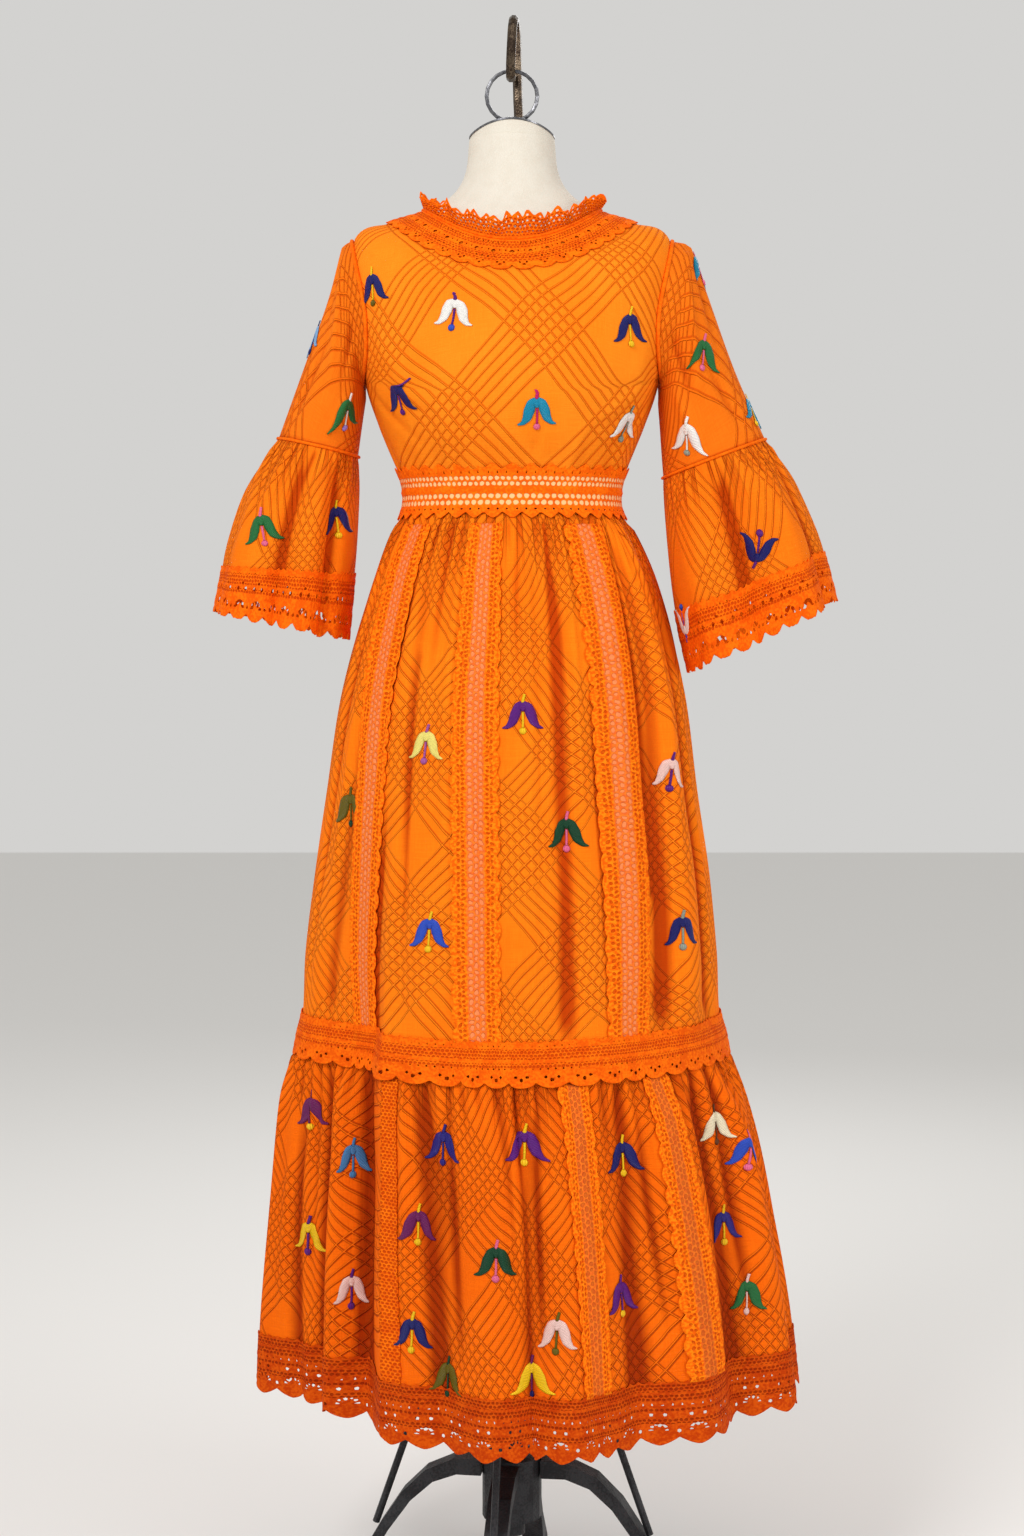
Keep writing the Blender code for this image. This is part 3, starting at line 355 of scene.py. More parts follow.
def strip_lace(name, tint, hole):
    """The insertions. Their cut runs across in x and down in y: a middle of tinted net between
    loops of thread, and on each side a bright border with small loops along it."""
    finish = Finish(name, 0.85)
    cut = finish.node("ShaderNodeUVMap", {"uv_map": "cut"})
    across = finish.node("ShaderNodeSeparateXYZ", {}, {0: cut})
    down = across.out(1)
    wobble = (finish.noise(cut, 130.0, 1.0) - 0.5) * 0.0040
    aside = abs(across) + wobble
    down = down + wobble * 1.5
    ground = finish.noise(cut, 320.0, 2.0)
    colour = finish.mix(finish.step(ground, 0.38, 0.62), shade(255, 130, 14), LACE_DEEP)
    middle = 1.0 - finish.step(aside, 0.0082, 0.0090)
    colour = finish.mix(middle * 0.50, colour, tint)
    height = ground * 0.6
    for place, start in ((0.0, 0.0), (0.0055, 0.5)):
        gap = cells(finish, down, aside, 0.0070, place, start, 0.0027, 0.0022)
        colour = finish.mix(gap * 0.50, colour, hole)
        height = height - gap
    for place, start, pitch, wide in ((0.0118, 0.25, 0.0051, 0.0015), (0.0158, 0.75, 0.0064, 0.0018)):
        gap = cells(finish, down, aside, pitch, place, start, wide, 0.0015)
        colour = finish.mix(gap * 0.62, colour, LACE_DARK)
        height = height - gap
    finish.paint("Base Color", colour)
    finish.bump(height, 0.0009)
    finish.shader.inputs["Specular IOR Level"].default_value = 0.06
    return finish.material


# The form shows pale through the upper strips. Only shade shows through the lower ones, so their middle and cells are
# painted shade.
STRIP_LACE = {
    "upper": strip_lace("dyed lace insertion", shade(224, 108, 54), shade(242, 150, 104)),
    "lower": strip_lace("dyed lace insertion in shade", shade(222, 104, 44), shade(172, 70, 28)),
}
EDGING_LACE = lace("dyed lace edging", LACE_LIT, LACE_DEEP, LACE_DARK, net=((0.0, 0.8),))

thread = Finish("embroidery thread", 0.38)
stitch = thread.node("ShaderNodeUVMap", {"uv_map": "cut"})
along_petal = thread.node("ShaderNodeSeparateXYZ", {}, {0: stitch})
stored = thread.node("ShaderNodeAttribute", {"attribute_name": "thread"})
rows_of_thread = (along_petal * 4200.0).math("SINE")
thread.paint("Base Color", thread.mix(rows_of_thread * 0.10 + 0.10, stored, (0.02, 0.015, 0.01)))
thread.bump(rows_of_thread, 0.0003)
thread.shader.inputs["Specular IOR Level"].default_value = 0.25
THREAD = thread.material

# %% [markdown]
# ## Form, metal and iron
# The form is covered in cream jersey, a fine even knit. The ring is worn grey steel, the hook
# is aged bronze with lighter rubbed places, and the stand is cast iron, whose skin is pebbled.
# These have no map of their own, so their patterns read the place in space.

# %% Jersey, steel, bronze, iron
def spotted(name, base, spots, roughness, metallic, scale, relief):
    """A finish of two shades in soft spots, with a matching relief."""
    finish = Finish(name, roughness, metallic)
    place = finish.node("ShaderNodeTexCoord", output=3)
    fine = finish.noise(place, scale, 3.0)
    broad = finish.noise(place, scale / 12, 2.0)
    share = finish.step(fine * 0.5 + broad * 0.5, 0.42, 0.60)
    finish.paint("Base Color", finish.mix(share, base, spots))
    finish.paint("Roughness", share * 0.12 + (roughness - 0.06))
    finish.bump(fine, relief)
    return finish.material


JERSEY = spotted("cream jersey", shade(216, 209, 195), shade(213, 205, 190), 0.85, 0.0, 900.0, 0.0004)
STEEL = spotted("worn grey steel", shade(122, 122, 125), shade(88, 88, 92), 0.30, 0.9, 240.0, 0.0002)
BRONZE = spotted("aged bronze", shade(98, 84, 68), shade(50, 38, 30), 0.30, 0.85, 520.0, 0.0003)
IRON = spotted("cast iron", shade(52, 52, 55), shade(34, 34, 37), 0.55, 0.35, 420.0, 0.0010)
print("plain finishes: jersey, steel, bronze, iron")

# %% [markdown]
# ## The form's own shape
# A dress form is a stack of rings that change from round at the neck to wide at the shoulders.
# One table row holds a ring: how wide it is, how far it reaches to the front and the back, and
# how high it is at the side, front and back. A smooth curve through the rows gives any ring.

# %% Tables of the form
ARMHOLE_MID = 6.0
ARMHOLE_SWEEP = math.radians(27)
ARMHOLE_LIFT = 0.0022
SEAM_GAP = 0.0004
TORSO = (
    # ring, half width, side height, front reach, front height, back reach, back height, squareness
    (0.0, 0.0490, 1.690, 0.0500, 1.690, 0.0480, 1.690, 2.00),
    (1.0, 0.0535, 1.652, 0.0530, 1.650, 0.0520, 1.660, 2.00),
    (2.0, 0.0680, 1.627, 0.0660, 1.608, 0.0600, 1.640, 2.00),
    (3.0, 0.1000, 1.605, 0.0920, 1.563, 0.0780, 1.609, 2.05),
    (4.0, 0.1420, 1.591, 0.1070, 1.528, 0.0940, 1.578, 2.20),
    (5.0, 0.1735, 1.570, 0.1150, 1.490, 0.1040, 1.536, 2.35),
    (6.0, 0.1745, 1.496, 0.1230, 1.440, 0.1090, 1.476, 2.35),
    (7.0, 0.1610, 1.412, 0.1260, 1.390, 0.1070, 1.408, 2.25),
    (8.0, 0.1440, 1.360, 0.1170, 1.348, 0.0990, 1.356, 2.10),
    (9.0, 0.1265, 1.312, 0.1010, 1.310, 0.0860, 1.312, 2.00),
    (10.0, 0.1195, 1.283, 0.0960, 1.283, 0.0840, 1.283, 2.00),
    (11.0, 0.1235, 1.250, 0.0990, 1.250, 0.0900, 1.250, 2.00),
    (12.0, 0.1430, 1.180, 0.1130, 1.180, 0.1130, 1.180, 2.00),
    (13.0, 0.1620, 1.080, 0.1240, 1.080, 0.1300, 1.080, 2.05),
    (14.0, 0.1560, 0.985, 0.1180, 0.985, 0.1260, 0.985, 2.05),
)
BODICE_EASE = (
    # ring, distance
    (3.0, 0.0017),
    (4.0, 0.0017),
    (4.5, 0.0054),
    (5.0, 0.0086),
    (5.35, 0.0094),
    (6.0, 0.0080),
    (8.0, 0.0075),
    (9.0, 0.0050),
    (9.34, 0.0045),
)


# %% Curves through tables
def smooth_through(rows, place):
    """The columns of a table at any places, on smooth curves through its rows."""
    table = np.array(rows, float)
    places, values = table[:, 0], table[:, 1:]
    slopes = np.gradient(values, places, axis=0)
    place = np.asarray(place, float)
    k = np.clip(np.searchsorted(places, place) - 1, 0, len(places) - 2)
    size = (places[k + 1] - places[k])[..., None]
    t = np.clip((place - places[k]) / (places[k + 1] - places[k]), 0, 1)[..., None]
    near = (1 + 2 * t) * (1 - t) ** 2 * values[k] + t * (1 - t) ** 2 * size * slopes[k]
    far = t * t * (3 - 2 * t) * values[k + 1] + t * t * (t - 1) * size * slopes[k + 1]
    return np.moveaxis(near + far, -1, 0)


def straight_through(rows, place):
    table = np.array(rows, float)
    return [np.interp(place, table[:, 0], column) for column in table[:, 1:].T]


def soft_step(t):
    t = np.clip(t, 0, 1)
    return t * t * (3 - 2 * t)


def signed_power(value, power):
    return np.sign(value) * np.abs(value) ** power


def turn_between(angle, other):
    return (angle - other + 180) % 360 - 180


def torso(ring, angle):
    """A point of the form: ring counts down from the neck, angle turns from the front to +X."""
    half, side_z, front, front_z, back, back_z, square = smooth_through(TORSO, ring)
    s, c = np.sin(angle), np.cos(angle)
    reach = np.where(c > 0, front, back)
    end_z = np.where(c > 0, front_z, back_z)
    x = half * signed_power(s, 2 / square)
    y = -reach * signed_power(c, 2 / square)
    return np.stack([x, y, side_z + (end_z - side_z) * c * c], axis=-1)


def hoop(rows, height, angle):
    """A point of a level oval whose sizes come from a table of heights."""
    middle, half, front, back, square = smooth_through(rows, height)
    s, c = np.sin(angle), np.cos(angle)
    reach = np.where(c > 0, front, back)
    x = middle + half * signed_power(s, 2 / square)
    return np.stack([x, -reach * signed_power(c, 2 / square), height + 0 * x], axis=-1)


print("waist of the form:", np.round(torso(np.array(10.0), np.array(math.pi / 2)), 3))

# %% [markdown]
# ## Cloth as a surface
# Each piece of cloth is a rule that turns a row and a column into a place. With such a rule, a
# flower or a strip of lace can be laid on the very same folds: it asks for the places of its
# own points, and for the direction away from the cloth, and lies a hair above it.

# %% The cloth rule
class Cloth:
    """A piece of cloth as a surface, with rows that run down and columns that run along."""

    def __init__(self, place, row_step, column_step, rows, columns):
        self.place = place
        self.steps = (row_step, column_step)
        self.rows = rows
        self.columns = columns

    def normal(self, row, column):
        down = self.place(row + self.steps[0], column) - self.place(row - self.steps[0], column)
        along = self.place(row, column + self.steps[1]) - self.place(row, column - self.steps[1])
        away = np.cross(down, along)
        return away / np.linalg.norm(away, axis=-1, keepdims=True)

    def at(self, row, column, lift=0.0):
        row, column = np.broadcast_arrays(np.asarray(row, float), np.asarray(column, float))
        return self.place(row, column) + self.normal(row, column) * np.asarray(lift)[..., None]


def pleats(along, down, count, seed, depth, reach):
    """Fine gathers below a seam, uneven in place, depth and length. along runs from 0 to 1."""
    chance = np.random.default_rng(seed)
    middles = np.cumsum(chance.uniform(0.55, 1.45, count))
    middles = middles / (middles[-1] + 0.5)
    total = np.zeros(np.broadcast(along, down).shape)
    for middle in middles:
        width = chance.uniform(0.30, 0.46) / count
        lean = chance.normal(0.0, 0.35) / count
        high = depth * chance.uniform(0.4, 1.0)
        far = reach * chance.uniform(0.35, 1.35)
        apart = (along - middle - lean * down / reach) / (width * (1 + 0.8 * down / reach))
        total += high * np.exp(-(apart**2)) * np.exp(-((down / far) ** 2))
    return (total - 0.35 * depth * np.exp(-((down / reach) ** 2))) * soft_step(down / 0.014)


def creases(table, across, along):
    """Creases, listed one by one: each runs from one point to another and dies away at its ends."""
    total = np.zeros(np.broadcast(across, along).shape)
    for x0, y0, x1, y1, width, depth in table:
        length = (x1 - x0) ** 2 + (y1 - y0) ** 2
        t = np.clip(((across - x0) * (x1 - x0) + (along - y0) * (y1 - y0)) / length, 0, 1)
        apart = np.hypot(across - x0 - t * (x1 - x0), along - y0 - t * (y1 - y0))
        total += depth * np.exp(-((apart / width) ** 2)) * np.sin(math.pi * (0.08 + 0.84 * t)) ** 0.8
    return total


# %% [markdown]
# ## From a rule to a mesh
# A sheet is a grid of points with a thin wall. Its flat cut, in metres, is kept as a UV map,
# which the finishes read and from which the cut's area is measured. A tube is made flat first
# and its two edges are welded, so that its seam keeps the map's two ends apart.

# %% Making sheets
def select_only(thing):
    bpy.ops.object.select_all(action="DESELECT")
    thing.select_set(True)
    bpy.context.view_layer.objects.active = thing


def add_wall(thing, thickness, outwards):
    """Gives a sheet its thickness, and applies it."""
    select_only(thing)
    wall = thing.modifiers.new("wall", "SOLIDIFY")
    wall.thickness = thickness
    wall.offset = 1.0 if outwards else -1.0
    wall.use_even_offset = False
    bpy.ops.object.modifier_apply(modifier=wall.name)


def cut_size(mesh):
    """The flat width, length and area of a mesh's cut."""
    mesh.calc_loop_triangles()
    corners = np.zeros(len(mesh.loop_triangles) * 3, np.int32)
    mesh.loop_triangles.foreach_get("loops", corners)
    flat = np.zeros(len(mesh.loops) * 2, np.float32)
    mesh.uv_layers["cut"].data.foreach_get("uv", flat)
    flat = flat.reshape(-1, 2)
    a, b, c = np.moveaxis(flat[corners.reshape(-1, 3)], 1, 0)
    area = np.abs((b - a)[:, 0] * (c - a)[:, 1] - (b - a)[:, 1] * (c - a)[:, 0]).sum() / 2
    width, length = np.ptp(flat, axis=0)
    return float(width), float(length), float(area)


def sheet_from(name, points, faces, cut, material, thickness, outwards=False, weld=False, colours=None, troughs=None):
    """A sheet object from points, faces and their places in the flat cut."""
    mesh = bpy.data.meshes.new(name)
    mesh.from_pydata((points + AXIS).tolist(), [], faces)
    corners = np.zeros(len(mesh.loops), np.int32)
    mesh.loops.foreach_get("vertex_index", corners)
    layer = mesh.uv_layers.new(name="cut")
    layer.data.foreach_set("uv", np.ascontiguousarray(cut[corners], np.float32).ravel())
    if colours is not None:
        paint = mesh.color_attributes.new("thread", "FLOAT_COLOR", "POINT")
        paint.data.foreach_set("color", np.ascontiguousarray(colours, np.float32).ravel())
    if troughs is not None:
        depths = mesh.attributes.new("trough", "FLOAT", "POINT")
        depths.data.foreach_set("value", np.ascontiguousarray(troughs, np.float32))
    mesh.polygons.foreach_set("use_smooth", np.ones(len(mesh.polygons), bool))
    mesh.materials.append(material)
    thing = bpy.data.objects.new(name, mesh)
    bpy.context.scene.collection.objects.link(thing)
    if weld:
        shape = bmesh.new()
        shape.from_mesh(mesh)
        bmesh.ops.remove_doubles(shape, verts=shape.verts, dist=0.00002)
        shape.to_mesh(mesh)
        shape.free()
    thing["cut_size"] = cut_size(mesh)
    add_wall(thing, thickness, outwards)
    return thing


def grid_faces(rows, columns):
    corner = np.arange(rows * columns).reshape(rows, columns)
    faces = np.stack([corner[:-1, :-1], corner[1:, :-1], corner[1:, 1:], corner[:-1, 1:]], axis=-1)
    return faces.reshape(-1, 4).tolist()


def trough_depths(points, normals, reach=0.026):
    """How deep each place lies in a fold: 0 on the cloth's average along its row, 1 at 3 mm. The voiles paint shade
    into the folds by it.
    """
    step = np.median(np.linalg.norm(np.diff(points, axis=1), axis=-1))
    side = max(int(round(reach / step)), 1)
    wide = np.pad(points, ((0, 0), (side + 1, side), (0, 0)), mode="reflect", reflect_type="odd")
    total = np.cumsum(wide, axis=1)
    smooth = (total[:, 2 * side + 1 :] - total[:, : -2 * side - 1]) / (2 * side + 1)
    return np.clip(((smooth - points) * normals).sum(axis=-1) / 0.0030, 0, 1)


def sew(name, cloth, counts, cut_of, material, weld=False):
    """A cloth piece as a dense sheet on its rule. cut_of gives its flat cut from row and column."""
    rows = np.linspace(*cloth.rows, counts[0])
    columns = np.linspace(*cloth.columns, counts[1])
    row, column = np.meshgrid(rows, columns, indexing="ij")
    points = cloth.at(row, column)
    troughs = trough_depths(points, cloth.normal(row, column)).ravel()
    cut = np.stack(cut_of(row, column), axis=-1).reshape(-1, 2)
    faces = grid_faces(*counts)
    return sheet_from(name, points.reshape(-1, 3), faces, cut, material, 0.0008, weld=weld, troughs=troughs)


def declare(thing, node):
    """Attaches a sheet to the root body, hides the solid that it stands for, and prints the size of its cut."""
    width, length, area = thing["cut_size"]
    area = min(area, width * length)
    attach(thing, "root")
    if node:
        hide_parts(node)
    ratio = sum(face.area for face in thing.data.polygons) / 2 / area
    print(f"{thing.name}: cut {width:.2f} x {length:.2f} m, {area:.3f} m2, laid {ratio:.2f}, {len(thing.data.polygons)} faces")
    return thing


# %% [markdown]
# ## The form
# The torso, smooth and whole, is drawn through the same rings, much closer together. Its ends
# are closed with flat faces. It is a rigid body, so it isn't a sheet.

# %% Torso
FORM_RINGS = np.concatenate([np.linspace(0, 5, 46), np.linspace(5.1, 14, 50)])
FORM_TURNS = 96


def make_torso():
    row, column = np.meshgrid(FORM_RINGS, np.arange(FORM_TURNS) * 2 * math.pi / FORM_TURNS, indexing="ij")
    points = torso(row, column).reshape(-1, 3)
    faces = []
    for r in range(len(FORM_RINGS) - 1):
        for c in range(FORM_TURNS):
            d = (c + 1) % FORM_TURNS
            near, far = r * FORM_TURNS, (r + 1) * FORM_TURNS
            faces.append((near + c, far + c, far + d, near + d))
    faces.append(tuple(range(FORM_TURNS)))
    last = (len(FORM_RINGS) - 1) * FORM_TURNS
    faces.append(tuple(reversed(range(last, last + FORM_TURNS))))
    mesh = bpy.data.meshes.new("padded_torso")
    mesh.from_pydata((points + AXIS).tolist(), [], faces)
    mesh.materials.append(JERSEY)
    thing = bpy.data.objects.new("padded_torso", mesh)
    bpy.context.scene.collection.objects.link(thing)
    select_only(thing)
    bpy.ops.object.shade_smooth_by_angle(angle=math.radians(50))
    return thing


FORM = make_torso()
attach(FORM, "root")
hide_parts("form_torso")
print("torso faces:", len(FORM.data.polygons))

# %% [markdown]
# ## Bodice
# The bodice is two halves, joined at the shoulders and sides. It rests on the shoulders, and
# stands a few millimetres off lower down. Short gathers rise from the waist band, and a few
# soft creases run from the armholes, where a sleeve pulls.

# %% Bodice rule
FRONT_BODICE_CREASES = (
    # from across, along, to across, along, width, depth
    (-0.145, -0.285, -0.060, -0.330, 0.0070, 0.0022),
    (-0.150, -0.310, -0.085, -0.372, 0.0060, -0.0016),
    (0.148, -0.290, 0.070, -0.345, 0.0080, 0.0024),
    (0.150, -0.318, 0.095, -0.380, 0.0060, -0.0018),
    (-0.050, -0.335, -0.062, -0.405, 0.0060, 0.0018),
    (0.020, -0.345, 0.016, -0.410, 0.0070, -0.0016),
    (0.060, -0.350, 0.052, -0.412, 0.0055, 0.0020),
)
BACK_BODICE_CREASES = (
    (-0.145, -0.270, -0.075, -0.300, 0.0080, 0.0022),
    (0.148, -0.275, 0.070, -0.312, 0.0080, 0.0020),
    (-0.070, -0.330, -0.060, -0.405, 0.0065, 0.0020),
    (-0.012, -0.320, -0.008, -0.408, 0.0075, -0.0018),
    (0.055, -0.325, 0.060, -0.410, 0.0065, 0.0020),
)


def armhole_edge(ring):
    inside = np.clip(1 - (ring - ARMHOLE_MID) ** 2, 0, 1)
    return math.pi / 2 - ARMHOLE_SWEEP * np.sqrt(inside)


def seam_edge(ring):
    square = smooth_through(TORSO, ring)[6]
    return armhole_edge(ring) - (SEAM_GAP / 0.11) ** (square / 2)


def off_the_form(ring, angle, distance):
    """A point that far off the form."""
    step = 0.01
    down = torso(ring + step, angle) - torso(ring - step, angle)
    along = torso(ring, angle + step) - torso(ring, angle - step)
    away = np.cross(down, along)
    away = away / np.linalg.norm(away, axis=-1, keepdims=True)
    return torso(ring, angle) + away * np.asarray(distance)[..., None]


def bodice(facing, table, seed):
    def place(ring, column):
        across, along = column * 0.17, -ring * 0.045
        calm = soft_step((ring - 4.6) / 0.8)
        waist = pleats((column + 1) / 2, (9.34 - ring) * 0.045, 26, seed, 0.0030, 0.045)
        folds = (creases(table, across, along) * 1.6 + waist) * calm
        ease = straight_through(BODICE_EASE, ring)[0]
        return off_the_form(ring, facing + column * seam_edge(ring), ease + folds)

    return Cloth(place, 0.02, 0.01, (3.0, 9.34), (-1.0, 1.0))


FRONT_BODICE = bodice(0.0, FRONT_BODICE_CREASES, 3)
BACK_BODICE = bodice(math.pi, BACK_BODICE_CREASES, 5)


def bodice_cut(cloth, shift, rise):
    """The flat cut: lengths across from the middle, and lengths up from the waist."""

    def cut(ring, column):
        points = cloth.place(ring, column)
        across = np.cumsum(np.linalg.norm(np.diff(points, axis=1, prepend=points[:, :1]), axis=-1), axis=1)
        down = np.cumsum(np.linalg.norm(np.diff(points, axis=0, prepend=points[:1]), axis=-1), axis=0)
        return across - across[:, -1:] / 2 - shift, down - down[-1:] + rise

    return cut


# %% Bodice sheets
front_bodice = sew("bodice_front_cloth", FRONT_BODICE, (72, 130), bodice_cut(FRONT_BODICE, -0.066, 0.176), BODICE_VOILE)
back_bodice = sew("bodice_back_cloth", BACK_BODICE, (54, 100), bodice_cut(BACK_BODICE, 0.0, 0.176), BODICE_VOILE)

# %% [markdown]
# ## Sleeves and flounces
# A sleeve leaves the armhole as a tube and widens to the elbow, where a flounce is gathered to it. An oval that slides
# along an outer and an inner line gives both. The flounce's big waves are listed, and fine pleats start at its seam and
# open out on the way down.

# %% Tables of sleeves
LEFT_SLEEVE = (
    # section, outer x, outer height, inner x, inner height, half depth
    (0.0, 0.196, 1.566, 0.168, 1.392, 0.060),
    (1.0, 0.211, 1.506, 0.171, 1.372, 0.064),
    (2.0, 0.238, 1.430, 0.174, 1.350, 0.064),
    (3.0, 0.2675, 1.348, 0.177, 1.327, 0.060),
)
RIGHT_SLEEVE = (
    (0.0, 0.205, 1.566, 0.168, 1.386, 0.060),
    (1.0, 0.225, 1.510, 0.170, 1.360, 0.064),
    (2.0, 0.256, 1.424, 0.172, 1.330, 0.064),
    (3.0, 0.2900, 1.347, 0.174, 1.303, 0.062),
)
LEFT_FLOUNCE = (
    (0.0, 0.2675, 1.3475, 0.177, 1.3265, 0.060),
    (1.0, 0.3000, 1.291, 0.176, 1.285, 0.072),
    (2.0, 0.3225, 1.230, 0.178, 1.228, 0.081),
    (3.0, 0.3315, 1.192, 0.182, 1.180, 0.085),
    (4.0, 0.3400, 1.148, 0.188, 1.116, 0.089),
)
RIGHT_FLOUNCE = (
    (0.0, 0.2900, 1.3465, 0.174, 1.3025, 0.062),
    (1.0, 0.3180, 1.303, 0.176, 1.255, 0.074),
    (2.0, 0.3440, 1.246, 0.182, 1.190, 0.084),
    (3.0, 0.3560, 1.208, 0.190, 1.136, 0.089),
    (4.0, 0.3680, 1.160, 0.203, 1.078, 0.094),
)
LEFT_WAVES = (
    # angle from the outer edge, half width, depth at the hem
    (-150, 12, -0.006),
    (-118, 11, -0.014),
    (-84, 14, 0.009),
    (-52, 10, -0.014),
    (-18, 13, 0.008),
    (14, 9, -0.010),
    (47, 15, 0.009),
    (86, 9, -0.017),
    (111, 12, 0.009),
    (134, 8, -0.015),
)
RIGHT_WAVES = (
    (-146, 12, -0.006),
    (-112, 11, -0.015),
    (-78, 14, 0.009),
    (-44, 10, -0.014),
    (-10, 14, 0.008),
    (24, 9, -0.009),
    (56, 14, 0.010),
    (98, 12, -0.022),
    (132, 13, 0.010),
)
LEFT_SLEEVE_CREASES = (
    # in radians round the sleeve times 0.07 m, and sections times 0.075 m
    (0.02, -0.02, 0.05, 0.10, 0.0080, -0.0030),
    (0.06, 0.00, 0.10, 0.13, 0.0090, 0.0040),
    (0.12, -0.03, 0.12, 0.10, 0.0080, -0.0035),
    (0.16, 0.05, 0.13, 0.20, 0.0080, 0.0035),
    (0.07, 0.10, 0.05, 0.21, 0.0070, -0.0030),
    (-0.05, -0.02, -0.08, 0.16, 0.0090, 0.0035),
    (-0.12, 0.00, -0.11, 0.18, 0.0090, -0.0035),
)
RIGHT_SLEEVE_CREASES = (
    (-0.02, -0.02, -0.05, 0.12, 0.0080, -0.0030),
    (-0.07, 0.00, -0.11, 0.13, 0.0090, 0.0040),
    (-0.13, -0.03, -0.12, 0.10, 0.0080, -0.0035),
    (-0.15, 0.06, -0.13, 0.20, 0.0080, 0.0035),
    (-0.08, 0.11, -0.06, 0.21, 0.0070, -0.0030),
    (0.05, -0.02, 0.08, 0.16, 0.0090, 0.0035),
    (0.12, 0.00, 0.11, 0.18, 0.0090, -0.0035),
)


# %% Sleeve rules
def sleeve_oval(rows, section, angle, side):
    outer_x, outer_z, inner_x, inner_z, depth = smooth_through(rows, section)
    across = (1 + np.cos(angle)) / 2
    x = side * (inner_x + (outer_x - inner_x) * across)
    z = inner_z + (outer_z - inner_z) * across
    return np.stack([x, side * depth * np.sin(angle), z], axis=-1)


def armhole_point(angle, side):
    ring = ARMHOLE_MID - np.cos(angle)
    turn = math.pi / 2 - (ARMHOLE_SWEEP + 0.02) * np.abs(np.sin(angle))
    around = np.where(np.sin(angle) * side < 0, turn, math.pi - turn)
    ease = straight_through(BODICE_EASE, ring)[0]
    return off_the_form(ring, side * around, ease + ARMHOLE_LIFT)


def sleeve(rows, table, side, seed):
    def place(section, angle):
        oval = sleeve_oval(rows, np.maximum(section, 0), angle, side)
        start = soft_step((section + 1.0) / 1.3) ** 0.7
        lean = np.clip(section + 1.0, 0, 1)[..., None]
        point = armhole_point(angle, side) * (1 - lean) + oval * lean
        outward = np.stack([side * np.cos(angle), side * np.sin(angle), 0.35 + 0 * angle], axis=-1)
        calm = soft_step((section + 1.0) / 0.6) * soft_step((3.0 - section) / 0.5) * soft_step((np.cos(angle) + 0.85) / 0.5)
        head = pleats((angle + math.pi) / (2 * math.pi), (section + 1.0) * 0.05, 22, seed, 0.0026, 0.060)
        folds = creases(table, angle * 0.07, section * 0.075) * 1.5
        return point + outward * ((folds + head + 0.004 * start * (1 - lean[..., 0])) * calm)[..., None]

    return Cloth(place, 0.03, 0.03, (-1.0, 3.0), (-math.pi, math.pi))


def flounce(rows, waves, side, seed):
    def place(section, angle):
        degrees = -side * np.degrees(angle)
        swing = np.zeros(np.broadcast(section, angle).shape)
        for middle, width, depth in waves:
            swing += depth * np.exp(-((turn_between(degrees, middle) / width) ** 2))
        outward = np.stack([side * np.cos(angle), side * np.sin(angle), 0 * angle], axis=-1)
        calm = 1 - 0.8 * soft_step((-np.cos(angle) - 0.6) / 0.4)
        grow = soft_step(section / 1.2) * (0.55 + 0.45 * section / 4)
        fine = pleats((angle + math.pi) / (2 * math.pi), section * 0.05, 38, seed, 0.0085, 0.085)
        return sleeve_oval(rows, section, angle, side) + outward * ((swing * grow + fine) * calm)[..., None]

    return Cloth(place, 0.03, 0.02, (0.0, 3.0), (-math.pi, math.pi))


SLEEVES = {
    "left": sleeve(LEFT_SLEEVE, LEFT_SLEEVE_CREASES, -1, 11),
    "right": sleeve(RIGHT_SLEEVE, RIGHT_SLEEVE_CREASES, 1, 12),
}
FLOUNCES = {
    "left": flounce(LEFT_FLOUNCE, LEFT_WAVES, -1, 13),
    "right": flounce(RIGHT_FLOUNCE, RIGHT_WAVES, 1, 14),
}

# %% Sleeve and flounce sheets
sleeve_sheets = {}
flounce_sheets = {}
for side_name in ("left", "right"):
    sleeve_sheets[side_name] = sew(
        f"sleeve_{side_name}_cloth",
        SLEEVES[side_name],
        (56, 81),
        lambda section, angle: (angle * 0.060, section * 0.043),
        SLEEVE_VOILE,
        weld=True,
    )
    flounce_sheets[side_name] = sew(
        f"flounce_{side_name}_cloth",
        FLOUNCES[side_name],
        (40, 169),
        lambda section, angle: (angle * 0.115, section * 0.047),
        FLOUNCE_VOILE,
        weld=True,
    )

# %% [markdown]
# ## The two skirts
# The upper skirt is gathered into the waist and falls in narrow upright folds. The lower tier
# is gathered again under the lace, so it swings wider. On the left the front panel laps over
# the side in one deep fold, which runs from the middle of the upper skirt to the hem.
# The main folds are the solids' own. The creases between them are added here, one by one.

